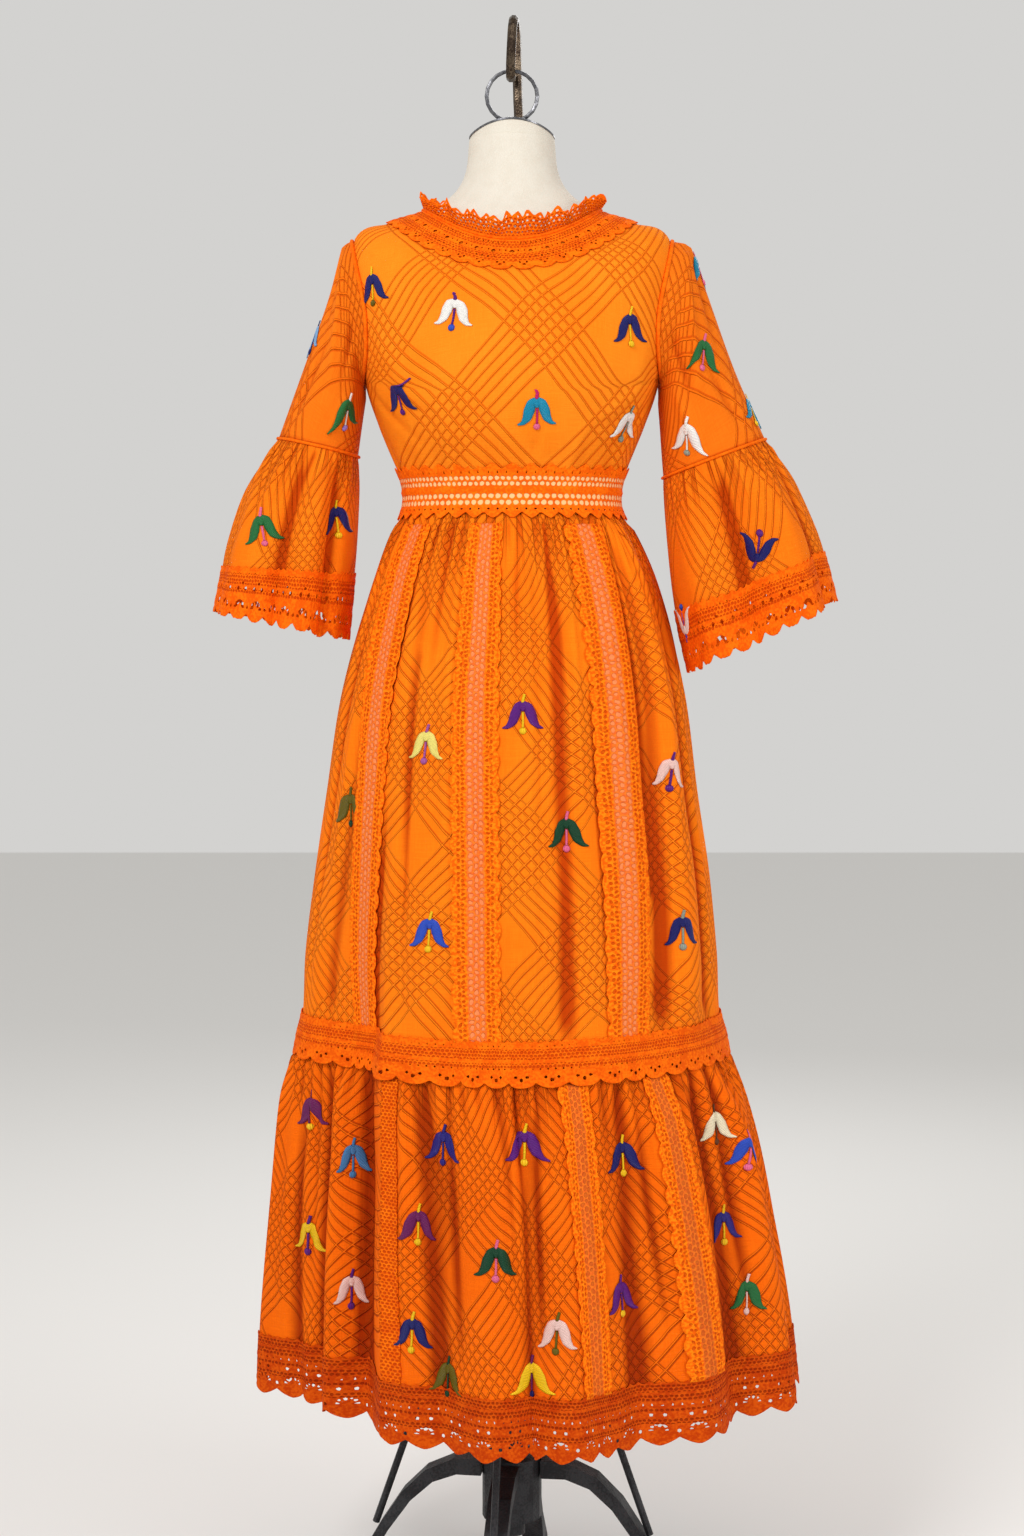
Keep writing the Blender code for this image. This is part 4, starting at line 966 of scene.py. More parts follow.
# %% Tables of the skirts
SKIRT_TOP = 1.262
TIER_SEAM = 0.668
SKIRT_HEM = 0.3225
SKIRT = (
    # height, middle x, half width, front reach, back reach, squareness
    (0.250, 0.0240, 0.3060, 0.2860, 0.2760, 1.60),
    (0.350, 0.0195, 0.3000, 0.2760, 0.2660, 1.62),
    (0.450, 0.0140, 0.2880, 0.2630, 0.2530, 1.66),
    (0.550, 0.0080, 0.2714, 0.2480, 0.2380, 1.70),
    (0.600, 0.0040, 0.2600, 0.2390, 0.2290, 1.75),
    (0.640, 0.0005, 0.2485, 0.2300, 0.2190, 1.78),
    (0.668, -0.0005, 0.2420, 0.2240, 0.2120, 1.80),
    (0.760, -0.0010, 0.2360, 0.2120, 0.2040, 1.85),
    (0.850, 0.0000, 0.2260, 0.1990, 0.1960, 1.90),
    (0.940, -0.0006, 0.2125, 0.1850, 0.1860, 1.95),
    (1.060, 0.0000, 0.1945, 0.1640, 0.1700, 2.00),
    (1.150, 0.0012, 0.1710, 0.1440, 0.1480, 2.00),
    (1.200, 0.0010, 0.1540, 0.1290, 0.1300, 2.00),
    (1.235, 0.0008, 0.1385, 0.1140, 0.1120, 2.00),
    (1.254, 0.0004, 0.1290, 0.1045, 0.0945, 2.00),
    (1.262, 0.0000, 0.1262, 0.1020, 0.0918, 2.00),
)
UPPER_FRONT_LINES = (
    # column, angle at the top, angle at the bottom, in degrees from the front
    (0, -90, -90),
    (5, -64, -48),
    (8, -42, -40),
    (9, -38, -37),
    (12, -21, -17),
    (15, -4, -3),
    (20, 24, 28),
    (23, 48, 41),
    (32, 90, 90),
)
UPPER_BACK_LINES = (
    (0, 90, 90),
    (5, 119, 122),
    (8, 141, 138),
    (12, 169, 172),
    (16, 191, 188),
    (20, 219, 222),
    (23, 241, 238),
    (28, 270, 270),
)
LOWER_FRONT_LINES = (
    (0, -90, -90),
    (5, -56, -56),
    (7, -45, -45),
    (8, -40, -40),
    (9, -37, -37),
    (10, -32, -32),
    (18, 13, 14),
    (20, 22, 21),
    (23, 36, 37),
    (25, 45, 48),
    (34, 90, 90),
)
LOWER_BACK_LINES = (
    (0, 90, 90),
    (6, 124, 125),
    (8, 137, 136),
    (15, 174, 175),
    (17, 186, 185),
    (24, 223, 224),
    (26, 236, 235),
    (32, 270, 270),
)
UPPER_FOLDS = (
    # angle at the top, angle at the bottom, half width, depth at the top, depth at the bottom
    (-52, -62, 5.0, 0.001, -0.007),
    (-28, -26, 5.0, -0.002, 0.006),
    (5, 9, 6.0, 0.001, 0.007),
    (14, 17, 4.0, -0.002, -0.008),
    (52, 46, 4.5, -0.006, -0.009),
    (62, 57, 5.0, 0.006, 0.010),
    (74, 70, 4.0, -0.003, -0.009),
    (112, 110, 6.0, 0.002, -0.010),
    (128, 130, 7.0, -0.002, 0.010),
    (152, 154, 6.0, 0.002, -0.009),
    (180, 180, 7.0, -0.001, 0.009),
    (206, 204, 6.0, 0.001, -0.010),
    (232, 230, 7.0, -0.002, 0.008),
    (254, 251, 6.0, 0.002, -0.009),
)
LOWER_FOLDS = (
    (-78, -80, 5.0, 0.004, 0.012),
    (-66, -66, 4.5, -0.008, -0.014),
    (-56, -56, 4.0, -0.010, -0.018),
    (-49, -49, 4.0, 0.010, 0.018),
    (-24, -24, 4.5, -0.008, -0.014),
    (-12, -12, 5.0, 0.006, 0.010),
    (1, 0, 4.5, -0.006, -0.012),
    (12, 12, 5.0, 0.006, 0.012),
    (28, 28, 4.5, -0.008, -0.016),
    (40, 41, 5.0, 0.008, 0.014),
    (53, 54, 4.5, -0.010, -0.018),
    (65, 66, 5.5, 0.008, 0.018),
    (77, 78, 4.5, -0.008, -0.016),
    (104, 103, 5.0, -0.008, -0.018),
    (118, 118, 6.0, 0.010, 0.020),
    (133, 132, 5.0, -0.010, -0.018),
    (150, 151, 7.0, 0.008, 0.018),
    (168, 167, 5.0, -0.008, -0.020),
    (184, 184, 6.0, 0.008, 0.016),
    (201, 200, 5.0, -0.010, -0.018),
    (216, 217, 6.0, 0.010, 0.018),
    (233, 233, 5.0, -0.008, -0.020),
    (249, 249, 6.0, 0.008, 0.018),
)
LAP_TOP = 1.000
LAP_AT_TIER = 0.046
LAP_AT_HEM = 0.064
LAP_EDGE = -37.0
LAP_WALL = -40.0
LAP_END = -86.0
UPPER_FRONT_LACES = ((5, 8), (12, 15), (20, 23))
UPPER_BACK_LACES = ((5, 8), (12, 16), (20, 23))
LOWER_FRONT_LACES = ((9, 10), (18, 20), (23, 25))
LOWER_BACK_LACES = ((6, 8), (15, 17), (24, 26))
UPPER_CREASES = (
    # from angle (times 0.0035 m), height, to angle, height, width, depth
    (-0.235, 1.20, -0.262, 0.72, 0.0060, -0.0050),
    (-0.205, 1.16, -0.225, 0.78, 0.0070, 0.0045),
    (-0.150, 1.22, -0.158, 0.95, 0.0055, -0.0035),
    (-0.118, 1.10, -0.112, 0.70, 0.0060, -0.0045),
    (-0.078, 1.19, -0.070, 0.86, 0.0060, 0.0040),
    (-0.040, 1.12, -0.036, 0.70, 0.0055, -0.0040),
    (-0.006, 1.21, -0.002, 0.93, 0.0060, 0.0035),
    (0.028, 1.16, 0.033, 0.72, 0.0055, -0.0045),
    (0.070, 1.20, 0.077, 0.88, 0.0060, 0.0040),
    (0.092, 1.05, 0.100, 0.70, 0.0055, -0.0040),
    (0.130, 1.18, 0.128, 0.74, 0.0060, 0.0035),
    (0.162, 1.22, 0.156, 0.84, 0.0065, -0.0055),
    (0.200, 1.12, 0.190, 0.71, 0.0060, 0.0045),
    (0.232, 1.20, 0.222, 0.90, 0.0060, -0.0045),
    (0.262, 1.05, 0.255, 0.72, 0.0070, 0.0050),
    (0.350, 1.18, 0.345, 0.76, 0.0070, -0.0050),
    (0.420, 1.10, 0.424, 0.70, 0.0070, 0.0045),
    (0.492, 1.20, 0.498, 0.86, 0.0070, -0.0050),
    (0.560, 1.14, 0.556, 0.71, 0.0075, 0.0050),
    (0.600, 1.21, 0.596, 0.92, 0.0060, -0.0040),
    (0.690, 1.15, 0.694, 0.73, 0.0070, 0.0050),
    (0.770, 1.18, 0.764, 0.78, 0.0070, -0.0050),
    (0.850, 1.08, 0.846, 0.70, 0.0075, 0.0050),
    (0.905, 1.20, 0.900, 0.84, 0.0065, -0.0045),
)
LOWER_CREASES = (
    (-0.292, 0.62, -0.296, 0.33, 0.0070, -0.0060),
    (-0.147, 0.70, -0.150, 0.26, 0.0085, -0.0190),
    (-0.252, 0.60, -0.250, 0.36, 0.0060, 0.0050),
    (-0.212, 0.62, -0.214, 0.34, 0.0055, -0.0055),
    (-0.106, 0.63, -0.108, 0.40, 0.0050, 0.0050),
    (-0.066, 0.62, -0.064, 0.35, 0.0055, -0.0060),
    (-0.024, 0.63, -0.022, 0.33, 0.0050, 0.0045),
    (0.022, 0.61, 0.020, 0.37, 0.0055, -0.0055),
    (0.060, 0.63, 0.064, 0.33, 0.0050, 0.0050),
    (0.118, 0.62, 0.122, 0.38, 0.0055, -0.0055),
    (0.160, 0.63, 0.165, 0.33, 0.0055, 0.0055),
    (0.206, 0.61, 0.210, 0.35, 0.0060, -0.0060),
    (0.250, 0.62, 0.252, 0.33, 0.0060, 0.0055),
    (0.292, 0.60, 0.296, 0.36, 0.0065, -0.0060),
    (0.390, 0.62, 0.388, 0.34, 0.0070, -0.0060),
    (0.500, 0.61, 0.504, 0.33, 0.0070, 0.0060),
    (0.560, 0.63, 0.562, 0.37, 0.0065, -0.0055),
    (0.665, 0.62, 0.662, 0.34, 0.0070, -0.0060),
    (0.725, 0.61, 0.730, 0.33, 0.0070, 0.0060),
    (0.790, 0.63, 0.788, 0.38, 0.0065, -0.0055),
    (0.845, 0.62, 0.848, 0.33, 0.0070, 0.0055),
)
SKIRT_TURN = 0.0035


# %% Skirt rules
def fold_depth(folds, degrees, down):
    total = np.zeros(np.broadcast(degrees, down).shape)
    for top, bottom, width, depth_top, depth_bottom in folds:
        middle = top + (bottom - top) * down
        depth = depth_top + (depth_bottom - depth_top) * down
        total += depth * np.exp(-((turn_between(degrees, middle) / width) ** 2))
    return total


def lap_depth(degrees, height):
    turn = turn_between(degrees, 0)
    upper = LAP_AT_TIER * soft_step((LAP_TOP - height) / (LAP_TOP - TIER_SEAM))
    lower = LAP_AT_TIER + (LAP_AT_HEM - LAP_AT_TIER) * (TIER_SEAM - height) / TIER_SEAM
    depth = np.where(height > TIER_SEAM, upper, lower)
    wall = soft_step((LAP_EDGE - turn) / (LAP_EDGE - LAP_WALL))
    return depth * np.where(turn > LAP_WALL, wall, soft_step((turn - LAP_END) / (LAP_WALL - LAP_END)))


def line_angle(lines, column, down):
    top, bottom = straight_through(lines, column)
    return top + (bottom - top) * down


def skirt(lines, laces, upper, seed):
    start, end = lines[0][1], lines[-1][1]

    def place(height, column):
        if upper:
            down = np.clip((SKIRT_TOP - height) / (SKIRT_TOP - TIER_SEAM), 0, 1)
            fade = soft_step((SKIRT_TOP - height) / 0.07) * soft_step((height - TIER_SEAM) / 0.06)
            folds, table = UPPER_FOLDS, UPPER_CREASES
        else:
            down = np.clip((TIER_SEAM - height) / (TIER_SEAM - SKIRT_HEM), 0, 1.1)
            fade = soft_step((TIER_SEAM - 0.012 - height) / 0.06)
            folds, table = LOWER_FOLDS, LOWER_CREASES
        degrees = line_angle(lines, column, down)
        share = (degrees - start) / (end - start)
        if upper:
            fine = pleats(share, np.maximum(SKIRT_TOP - 0.006 - height, 0), 46, seed, 0.0088, 0.20)
            fine = fine * soft_step((height - TIER_SEAM) / 0.05)
        else:
            fine = pleats(share, np.maximum(0.650 - height, 0), 50, seed, 0.0105, 0.15)
        calm = soft_step((share - 0.004) / 0.02) * soft_step((0.996 - share) / 0.02)
        for first, last in laces:
            beside = (column - (first + last) / 2) / ((last - first) / 2)
            calm = calm * (1 - 0.85 * np.exp(-(beside**6)))
        depth = (fold_depth(folds, degrees, down) + creases(table, degrees * SKIRT_TURN, height)) * fade
        angle = np.radians(degrees)
        outward = np.stack([np.sin(angle), -np.cos(angle), 0 * angle], axis=-1)
        point = hoop(SKIRT, height, angle) + outward * (depth + fine * calm)[..., None]
        point[..., 1] += lap_depth(degrees, height)
        return point

    rows = (SKIRT_TOP, TIER_SEAM) if upper else (TIER_SEAM - 0.0005, SKIRT_HEM)
    seam = 0.010
    return Cloth(place, -0.002, 0.04, rows, (seam, lines[-1][0] - seam))


UPPER_SKIRTS = {
    "front": skirt(UPPER_FRONT_LINES, UPPER_FRONT_LACES, True, 21),
    "back": skirt(UPPER_BACK_LINES, UPPER_BACK_LACES, True, 22),
}
LOWER_SKIRTS = {
    "front": skirt(LOWER_FRONT_LINES, LOWER_FRONT_LACES, False, 23),
    "back": skirt(LOWER_BACK_LINES, LOWER_BACK_LACES, False, 24),
}


def skirt_cut(lines, top, width, shift, drop):
    """A skirt half is a rectangle before it is gathered."""
    start, end = lines[0][1], lines[-1][1]

    def cut(height, column):
        degrees = line_angle(lines, column, 0.5)
        return ((degrees - start) / (end - start) - 0.5) * width - shift, (top - height) - drop

    return cut


# %% Skirt sheets
upper_sheets = {
    "front": sew(
        "upper_skirt_front_cloth",
        UPPER_SKIRTS["front"],
        (74, 215),
        skirt_cut(UPPER_FRONT_LINES, SKIRT_TOP, 0.66, -0.110, 0.150),
        UPPER_VOILE,
    ),
    "back": sew(
        "upper_skirt_back_cloth",
        UPPER_SKIRTS["back"],
        (60, 171),
        skirt_cut(UPPER_BACK_LINES, SKIRT_TOP, 0.66, 0.0, 0.160),
        UPPER_VOILE,
    ),
}
lower_sheets = {
    "front": sew(
        "lower_tier_front_cloth",
        LOWER_SKIRTS["front"],
        (50, 281),
        skirt_cut(LOWER_FRONT_LINES, TIER_SEAM, 0.98, 0.010, 0.110),
        LOWER_VOILE,
    ),
    "back": sew(
        "lower_tier_back_cloth",
        LOWER_SKIRTS["back"],
        (44, 221),
        skirt_cut(LOWER_BACK_LINES, TIER_SEAM, 0.98, 0.0, 0.110),
        LOWER_VOILE,
    ),
}

# %% [markdown]
# ## Lace
# Lace repeats one motif along a strip, so a motif is written once as a field: a number that is
# above zero where there is thread and below zero in a hole. The field is sampled on a fine
# grid of the flat strip, and its cells are cut along the zero line, which gives clean round
# holes and scallops. Then the strip is laid on its cloth. Next to an edge the thread is
# thicker, as where it is bound by hand, so the same field raises the edges too.

# %% Cutting lace from a field
def cut_from_field(field):
    """Points as (row, column) of the grid, and faces, of the part of a field above zero."""
    values = field.tolist()
    points, known, faces = [], {}, []

    def point(key, place):
        if key not in known:
            known[key] = len(points)
            points.append(place)
        return known[key]

    for r in range(len(values) - 1):
        for c in range(len(values[0]) - 1):
            ring = ((r, c), (r + 1, c), (r + 1, c + 1), (r, c + 1))
            inside = [values[a][b] > 0 for a, b in ring]
            if not any(inside):
                continue
            loop = []
            for k in range(4):
                p, q = ring[k], ring[(k + 1) % 4]
                if inside[k]:
                    loop.append(point(p, p))
                if inside[k] != inside[(k + 1) % 4]:
                    low, high = min(p, q), max(p, q)
                    f, g = values[low[0]][low[1]], values[high[0]][high[1]]
                    t = min(max(f / (f - g), 0.12), 0.88)
                    place = (low[0] + (high[0] - low[0]) * t, low[1] + (high[1] - low[1]) * t)
                    loop.append(point((low, high), place))
            if len(loop) > 2:
                faces.append(loop)
    return np.array(points), faces


def lay_lace(name, cloth, field, down, along, place_of, lift, thickness=0.0009, material=LACE, weld=False, raise_edges=0.0005):
    """Lace on a cloth. down and along are metres of flat strip, and place_of turns them into
    the cloth's row and column. lift is how far its inner face lies off the cloth's rule."""
    row, column = np.meshgrid(down, along, indexing="ij")
    values = field(column, row)
    points, faces = cut_from_field(values)
    v = np.interp(points[:, 0], np.arange(len(down)), down)
    u = np.interp(points[:, 1], np.arange(len(along)), along)
    edge = np.maximum(field(u, v), 0.0)
    raised = raise_edges * np.exp(-((edge / 0.0012) ** 2))
    rows, columns = place_of(v, u)
    placed = cloth.at(rows, columns, (lift(v) if callable(lift) else lift) + raised)
    return sheet_from(name, placed, faces, np.stack([u, v], axis=-1), material, thickness, outwards=True, weld=weld)


def hole(u, v, pitch, at, height, radius):
    """How far a place is outside a round hole that repeats along a strip."""
    across = ((u / pitch - at + 0.5) % 1 - 0.5) * pitch
    return np.hypot(across, v - height) - radius


GRAIN = 1.18


def steps(start, end, size):
    return np.linspace(start, end, max(int(round(abs(end - start) / (size * GRAIN))), 2) + 1)


# %% [markdown]
# ### Hem lace
# The deepest lace: a zigzag upper edge sewn over the cloth, a band of fine net with eyelets,
# and a row of fans. Each fan has a half-round gap crossed by spokes, two round holes above it,
# and a pointed edge below.

# %% Hem lace
HEM_PITCH = 0.0335
HEM_GRAIN = {"front": 0.00165, "back": 0.00215}


HEM_TOP = 0.3300
HEM_LAP = 0.0055


def hem_field(u, v):
    place = (u / HEM_PITCH) % 1 - 0.5
    below = v - HEM_LAP
    bottom = 0.0535 + 0.0085 * (1 - np.abs(2 * place) ** 1.4)
    top = 0.0030 * np.abs(np.sin(u / HEM_PITCH * 3 * math.pi))
    field = np.minimum(bottom - below, v - top)
    field = np.minimum(field, hole(u, below, HEM_PITCH / 4, 0.5, 0.0195, 0.0013))
    field = np.minimum(field, hole(u, below, HEM_PITCH, 0.33, 0.0300, 0.0018))
    field = np.minimum(field, hole(u, below, HEM_PITCH, 0.67, 0.0300, 0.0018))
    field = np.minimum(field, hole(u, below, HEM_PITCH, 0.0, 0.0470, 0.0020))
    across, rise = place * HEM_PITCH, 0.0475 - below
    far = np.hypot(across, rise)
    spokes = np.abs(np.sin(6 * np.arctan2(rise, across))) * far / 6
    gap = np.minimum(np.minimum(far - 0.0046, 0.0088 - far), np.minimum(rise - 0.0008, spokes - 0.0007))
    return np.minimum(field, -gap)


hem_lace = {}
for facing in ("front", "back"):
    cloth = LOWER_SKIRTS[facing]
    low, high = cloth.columns
    strip = 27 * HEM_PITCH
    hem_lace[facing] = lay_lace(
        f"hem_lace_{facing}_net",
        cloth,
        hem_field,
        steps(0.0, 0.0680, 0.00155),
        steps(0.0, strip, HEM_GRAIN[facing]),
        lambda v, u, low=low, high=high, strip=strip: (HEM_TOP - v, low + (high - low) * u / strip),
        0.0004,
        material=HEM_LACE_IN_SHADE,
    )

# %% [markdown]
# ### Tier lace
# The seam of the two tiers hides under a band: three fine tucks between a small upper edge and
# a row of scallops with holes. It is sewn to the upper skirt and hangs free over the gathers.

# %% Tier lace
TIER_PITCH = 0.0330


def tier_field(u, v):
    place = (u / TIER_PITCH) % 1 - 0.5
    bottom = 0.0415 + 0.0075 * np.sqrt(np.clip(1 - (2 * place) ** 2, 0, 1))
    top = 0.0022 * np.abs(np.sin(u / TIER_PITCH * 3 * math.pi))
    field = np.minimum(bottom - v, v - top)
    field = np.minimum(field, hole(u, v, TIER_PITCH / 4, 0.5, 0.0065, 0.0011))
    field = np.minimum(field, hole(u, v, TIER_PITCH / 4, 0.5, 0.0290, 0.0013))
    field = np.minimum(field, hole(u, v, TIER_PITCH, 0.30, 0.0375, 0.0020))
    field = np.minimum(field, hole(u, v, TIER_PITCH, 0.50, 0.0405, 0.0022))
    return np.minimum(field, hole(u, v, TIER_PITCH, 0.70, 0.0375, 0.0020))


def tier_cloth(cloth):
    """The upper skirt's own surface, and straight down from its lower edge."""

    def place(height, column):
        held = np.maximum(height, TIER_SEAM)
        point = cloth.place(held, column)
        point[..., 2] = height
        return point

    return Cloth(place, -0.002, 0.04, cloth.rows, cloth.columns)


def tier_lift(v):
    tucks = 0.0006 * np.clip(np.cos((v - 0.0180) / 0.0042 * 2 * math.pi), 0, 1) * (np.abs(v - 0.0180) < 0.0073)
    return np.interp(v, (0.0, 0.024, 0.050), (0.0008, 0.0040, 0.0086)) + tucks


tier_lace = {}
for facing in ("front", "back"):
    cloth = tier_cloth(UPPER_SKIRTS[facing])
    low, high = cloth.columns
    strip = 23 * TIER_PITCH
    tier_lace[facing] = lay_lace(
        f"tier_lace_{facing}_net",
        cloth,
        tier_field,
        steps(0.0, 0.0500, 0.00175),
        steps(0.0, strip, 0.00225),
        lambda v, u, low=low, high=high, strip=strip: (0.6920 - v, low + (high - low) * u / strip),
        tier_lift,
    )

# %% [markdown]
# ### Waist lace
# The open band at the waist shows the cream form through four rows of oval cells. They are too
# fine to cut, so the finish paints them. A cord of stitches runs along its middle, where
# bodice and skirt meet, and holes that are really cut run along its zigzag edges.

# %% Waist lace
WAIST_BAND = (
    # height, middle x, half width, front reach, back reach, squareness
    (1.254, 0.0004, 0.1308, 0.1063, 0.0963, 2.00),
    (1.262, 0.0000, 0.1275, 0.1034, 0.0932, 2.00),
    (1.283, 0.0000, 0.1252, 0.1014, 0.0893, 2.00),
    (1.302, 0.0000, 0.1293, 0.1046, 0.0907, 2.00),
    (1.312, 0.0000, 0.1334, 0.1081, 0.0931, 2.00),
)
WAIST_PITCH = 0.0205


def waist_field(u, v):
    place = (u / WAIST_PITCH) % 1 - 0.5
    bottom = 0.0540 + 0.0070 * (1 - np.abs(2 * place) ** 1.3)
    top = 0.0062 * np.abs(2 * place) ** 1.2
    field = np.minimum(bottom - v, v - top)
    for height, pitch, radius in (
        (0.0096, 2, 0.0015),
        (0.0510, 2, 0.0016),
    ):
        field = np.minimum(field, hole(u, v, WAIST_PITCH / pitch, 0.5, height, radius))
    return field


def waist_cloth(start):
    def place(height, turn):
        return hoop(WAIST_BAND, height, np.radians(start + turn))

    return Cloth(place, -0.002, 0.5, (1.312, 1.254), (0.1, 179.9))


def waist_lift(v):
    return 0.0002 + 0.0011 * np.exp(-(((v - 0.0295) / 0.0022) ** 2))


waist_lace = {}
for facing, start in (("front", -90), ("back", 90)):
    strip = 19 * WAIST_PITCH
    waist_lace[facing] = lay_lace(
        f"waist_lace_{facing}_net",
        waist_cloth(start),
        waist_field,
        steps(0.0, 0.0612, 0.00180),
        steps(0.0, strip, 0.00200),
        lambda v, u, strip=strip: (1.3135 - v, 0.1 + 179.8 * u / strip),
        waist_lift,
        material=WAIST_LACE,
    )

# %% [markdown]
# ### Collar and frill
# The flat collar lies on the shoulders. The frill stands on the neckline, swings in and out,
# and leans outwards at the sides.

# %% Collar
COLLAR_PITCH = 0.0215
COLLAR_ROUND = 40
COLLAR_DEEP = 0.0490


def collar_field(u, v):
    place = (u / COLLAR_PITCH) % 1 - 0.5
    bottom = 0.0415 + 0.0070 * np.sqrt(np.clip(1 - (2 * place) ** 2, 0, 1))
    field = np.minimum(bottom - v, v + 0.001)
    field = np.minimum(field, hole(u, v, COLLAR_PITCH / 3, 0.5, 0.0070, 0.0014))
    field = np.minimum(field, hole(u, v, COLLAR_PITCH, 0.0, 0.0200, 0.0027))
    field = np.minimum(field, hole(u, v, COLLAR_PITCH, 0.32, 0.0185, 0.0015))
    field = np.minimum(field, hole(u, v, COLLAR_PITCH, 0.68, 0.0185, 0.0015))
    field = np.minimum(field, hole(u, v, COLLAR_PITCH / 3, 0.5, 0.0300, 0.0014))
    field = np.minimum(field, hole(u, v, COLLAR_PITCH, 0.34, 0.0380, 0.0016))
    field = np.minimum(field, hole(u, v, COLLAR_PITCH, 0.66, 0.0380, 0.0016))
    return np.minimum(field, hole(u, v, COLLAR_PITCH, 0.50, 0.0412, 0.0019))


def collar_place(ring, angle):
    ease = straight_through(BODICE_EASE, ring)[0]
    return off_the_form(ring, angle, ease + 0.0010)


COLLAR_CLOTH = Cloth(collar_place, 0.01, 0.01, (3.0, 4.05), (-math.pi, math.pi))
collar = lay_lace(
    "collar_net",
    COLLAR_CLOTH,
    collar_field,
    steps(0.0, COLLAR_DEEP, 0.00165),
    steps(0.0, COLLAR_ROUND * COLLAR_PITCH, 0.00195),
    lambda v, u: (3.03 + 1.02 * v / COLLAR_DEEP, (u / (COLLAR_ROUND * COLLAR_PITCH) * 2 - 1) * math.pi),
    0.0003,
    material=COLLAR_LACE,
    weld=True,
)

# %% Frill
FRILL_WAVES = 24
FRILL_BASE_RING = 2.97
FRILL_SWING = 0.0042
FRILL_FRONT = (0.030, 0.006)
FRILL_SIDE = (0.021, 0.012)
FRILL_BACK = (0.026, 0.006)
FRILL_PITCH = 0.0126
FRILL_ROUND = 56
FRILL_HIGH = 0.0290


def frill_field(u, v):
    """v runs down from the free upper edge."""
    place = (u / FRILL_PITCH) % 1 - 0.5
    top = 0.0075 * (1 - np.abs(2 * place)) ** 0.9
    field = np.minimum(v - 0.0076 + top, FRILL_HIGH - v)
    field = np.minimum(field, hole(u, v, FRILL_PITCH, 0.5, 0.0062, 0.0016))
    field = np.minimum(field, hole(u, v, FRILL_PITCH / 2, 0.0, 0.0120, 0.0015))
    field = np.minimum(field, hole(u, v, FRILL_PITCH / 2, 0.5, 0.0172, 0.0015))
    return np.minimum(field, hole(u, v, FRILL_PITCH / 2, 0.0, 0.0232, 0.0012))


def frill_place(share, angle):
    """share is 0 at the free edge and 1 at the neckline."""
    base = off_the_form(FRILL_BASE_RING + 0 * angle, angle, BODICE_EASE[0][1] + 0 * angle)
    s, c = np.sin(angle), np.cos(angle)
    end_rise = np.where(c > 0, FRILL_FRONT[0], FRILL_BACK[0])
    end_lean = np.where(c > 0, FRILL_FRONT[1], FRILL_BACK[1])
    rise = FRILL_SIDE[0] + (end_rise - FRILL_SIDE[0]) * c * c
    lean = FRILL_SIDE[1] * 0.3 + (end_lean - FRILL_SIDE[1] * 0.3) * c * c
    phase = FRILL_WAVES * angle + 1.3 * np.sin(3 * angle + 0.4) + 0.8 * np.sin(7 * angle + 1.0)
    swing = FRILL_SWING * (1.30 + 0.55 * np.sin(5 * angle + 0.6)) * np.sin(phase)
    up = np.maximum(1 - share, 0)
    outward = np.stack([s, -c, 0 * angle], axis=-1)
    ragged = 0.0042 * np.sin(11 * angle + 0.7) * np.cos(4 * angle) + 0.0026 * np.cos(phase)
    top = rise * 0.92 + ragged
    point = base + outward * (lean * up**1.3 + swing * up**0.9)[..., None]
    point[..., 2] += top * (1 - share)
    return point


FRILL_CLOTH = Cloth(frill_place, 0.02, 0.004, (0.0, 1.0), (-math.pi, math.pi))
frill = lay_lace(
    "neck_frill_net",
    FRILL_CLOTH,
    frill_field,
    steps(0.0, FRILL_HIGH, 0.00130),
    steps(0.0, FRILL_ROUND * FRILL_PITCH, 0.00170),
    lambda v, u: (v / FRILL_HIGH, (u / (FRILL_ROUND * FRILL_PITCH) * 2 - 1) * math.pi),
    0.0,
    material=FRILL_LACE,
    weld=True,
    raise_edges=0.0003,
)

# %% [markdown]
# ### Flounce trims
# Each flounce ends in lace about 45 mm deep. It follows the flounce's own waves and then hangs
# below the cloth, so its holes show the light.

# %% Flounce trims
TRIM_PITCH = 0.0265
TRIM_ROUND = 28
TRIM_DEEP = 0.0560


def trim_field(u, v):
    place = (u / TRIM_PITCH) % 1 - 0.5
    bottom = 0.0470 + 0.0080 * (1 - np.abs(2 * place) ** 1.5)
    top = 0.0030 * np.abs(np.sin(u / TRIM_PITCH * 2 * math.pi))
    field = np.minimum(bottom - v, v - top)
    field = np.minimum(field, hole(u, v, TRIM_PITCH / 3, 0.5, 0.0090, 0.0012))
    field = np.minimum(field, hole(u, v, TRIM_PITCH, 0.28, 0.0240, 0.0022))
    field = np.minimum(field, hole(u, v, TRIM_PITCH, 0.72, 0.0240, 0.0022))
    field = np.minimum(field, hole(u, v, TRIM_PITCH, 0.50, 0.0185, 0.0018))
    across, rise = place * TRIM_PITCH, 0.0430 - v
    far = np.hypot(across, rise)
    spokes = np.abs(np.sin(5 * np.arctan2(rise, across))) * far / 5
    gap = np.minimum(np.minimum(far - 0.0040, 0.0085 - far), np.minimum(rise - 0.0006, spokes - 0.0005))
    field = np.minimum(field, -gap)
    return np.minimum(field, hole(u, v, TRIM_PITCH, 0.0, 0.0410, 0.0018))


trims = {}
for side_name in ("left", "right"):
    trims[side_name] = lay_lace(
        f"flounce_lace_{side_name}_net",
        FLOUNCES[side_name],
        trim_field,
        steps(0.0, TRIM_DEEP, 0.00175),
        steps(0.0, TRIM_ROUND * TRIM_PITCH, 0.00200),
        lambda v, u: (2.74 + 1.34 * v / TRIM_DEEP, (u / (TRIM_ROUND * TRIM_PITCH) * 2 - 1) * math.pi),
        0.0004,
        weld=True,
    )

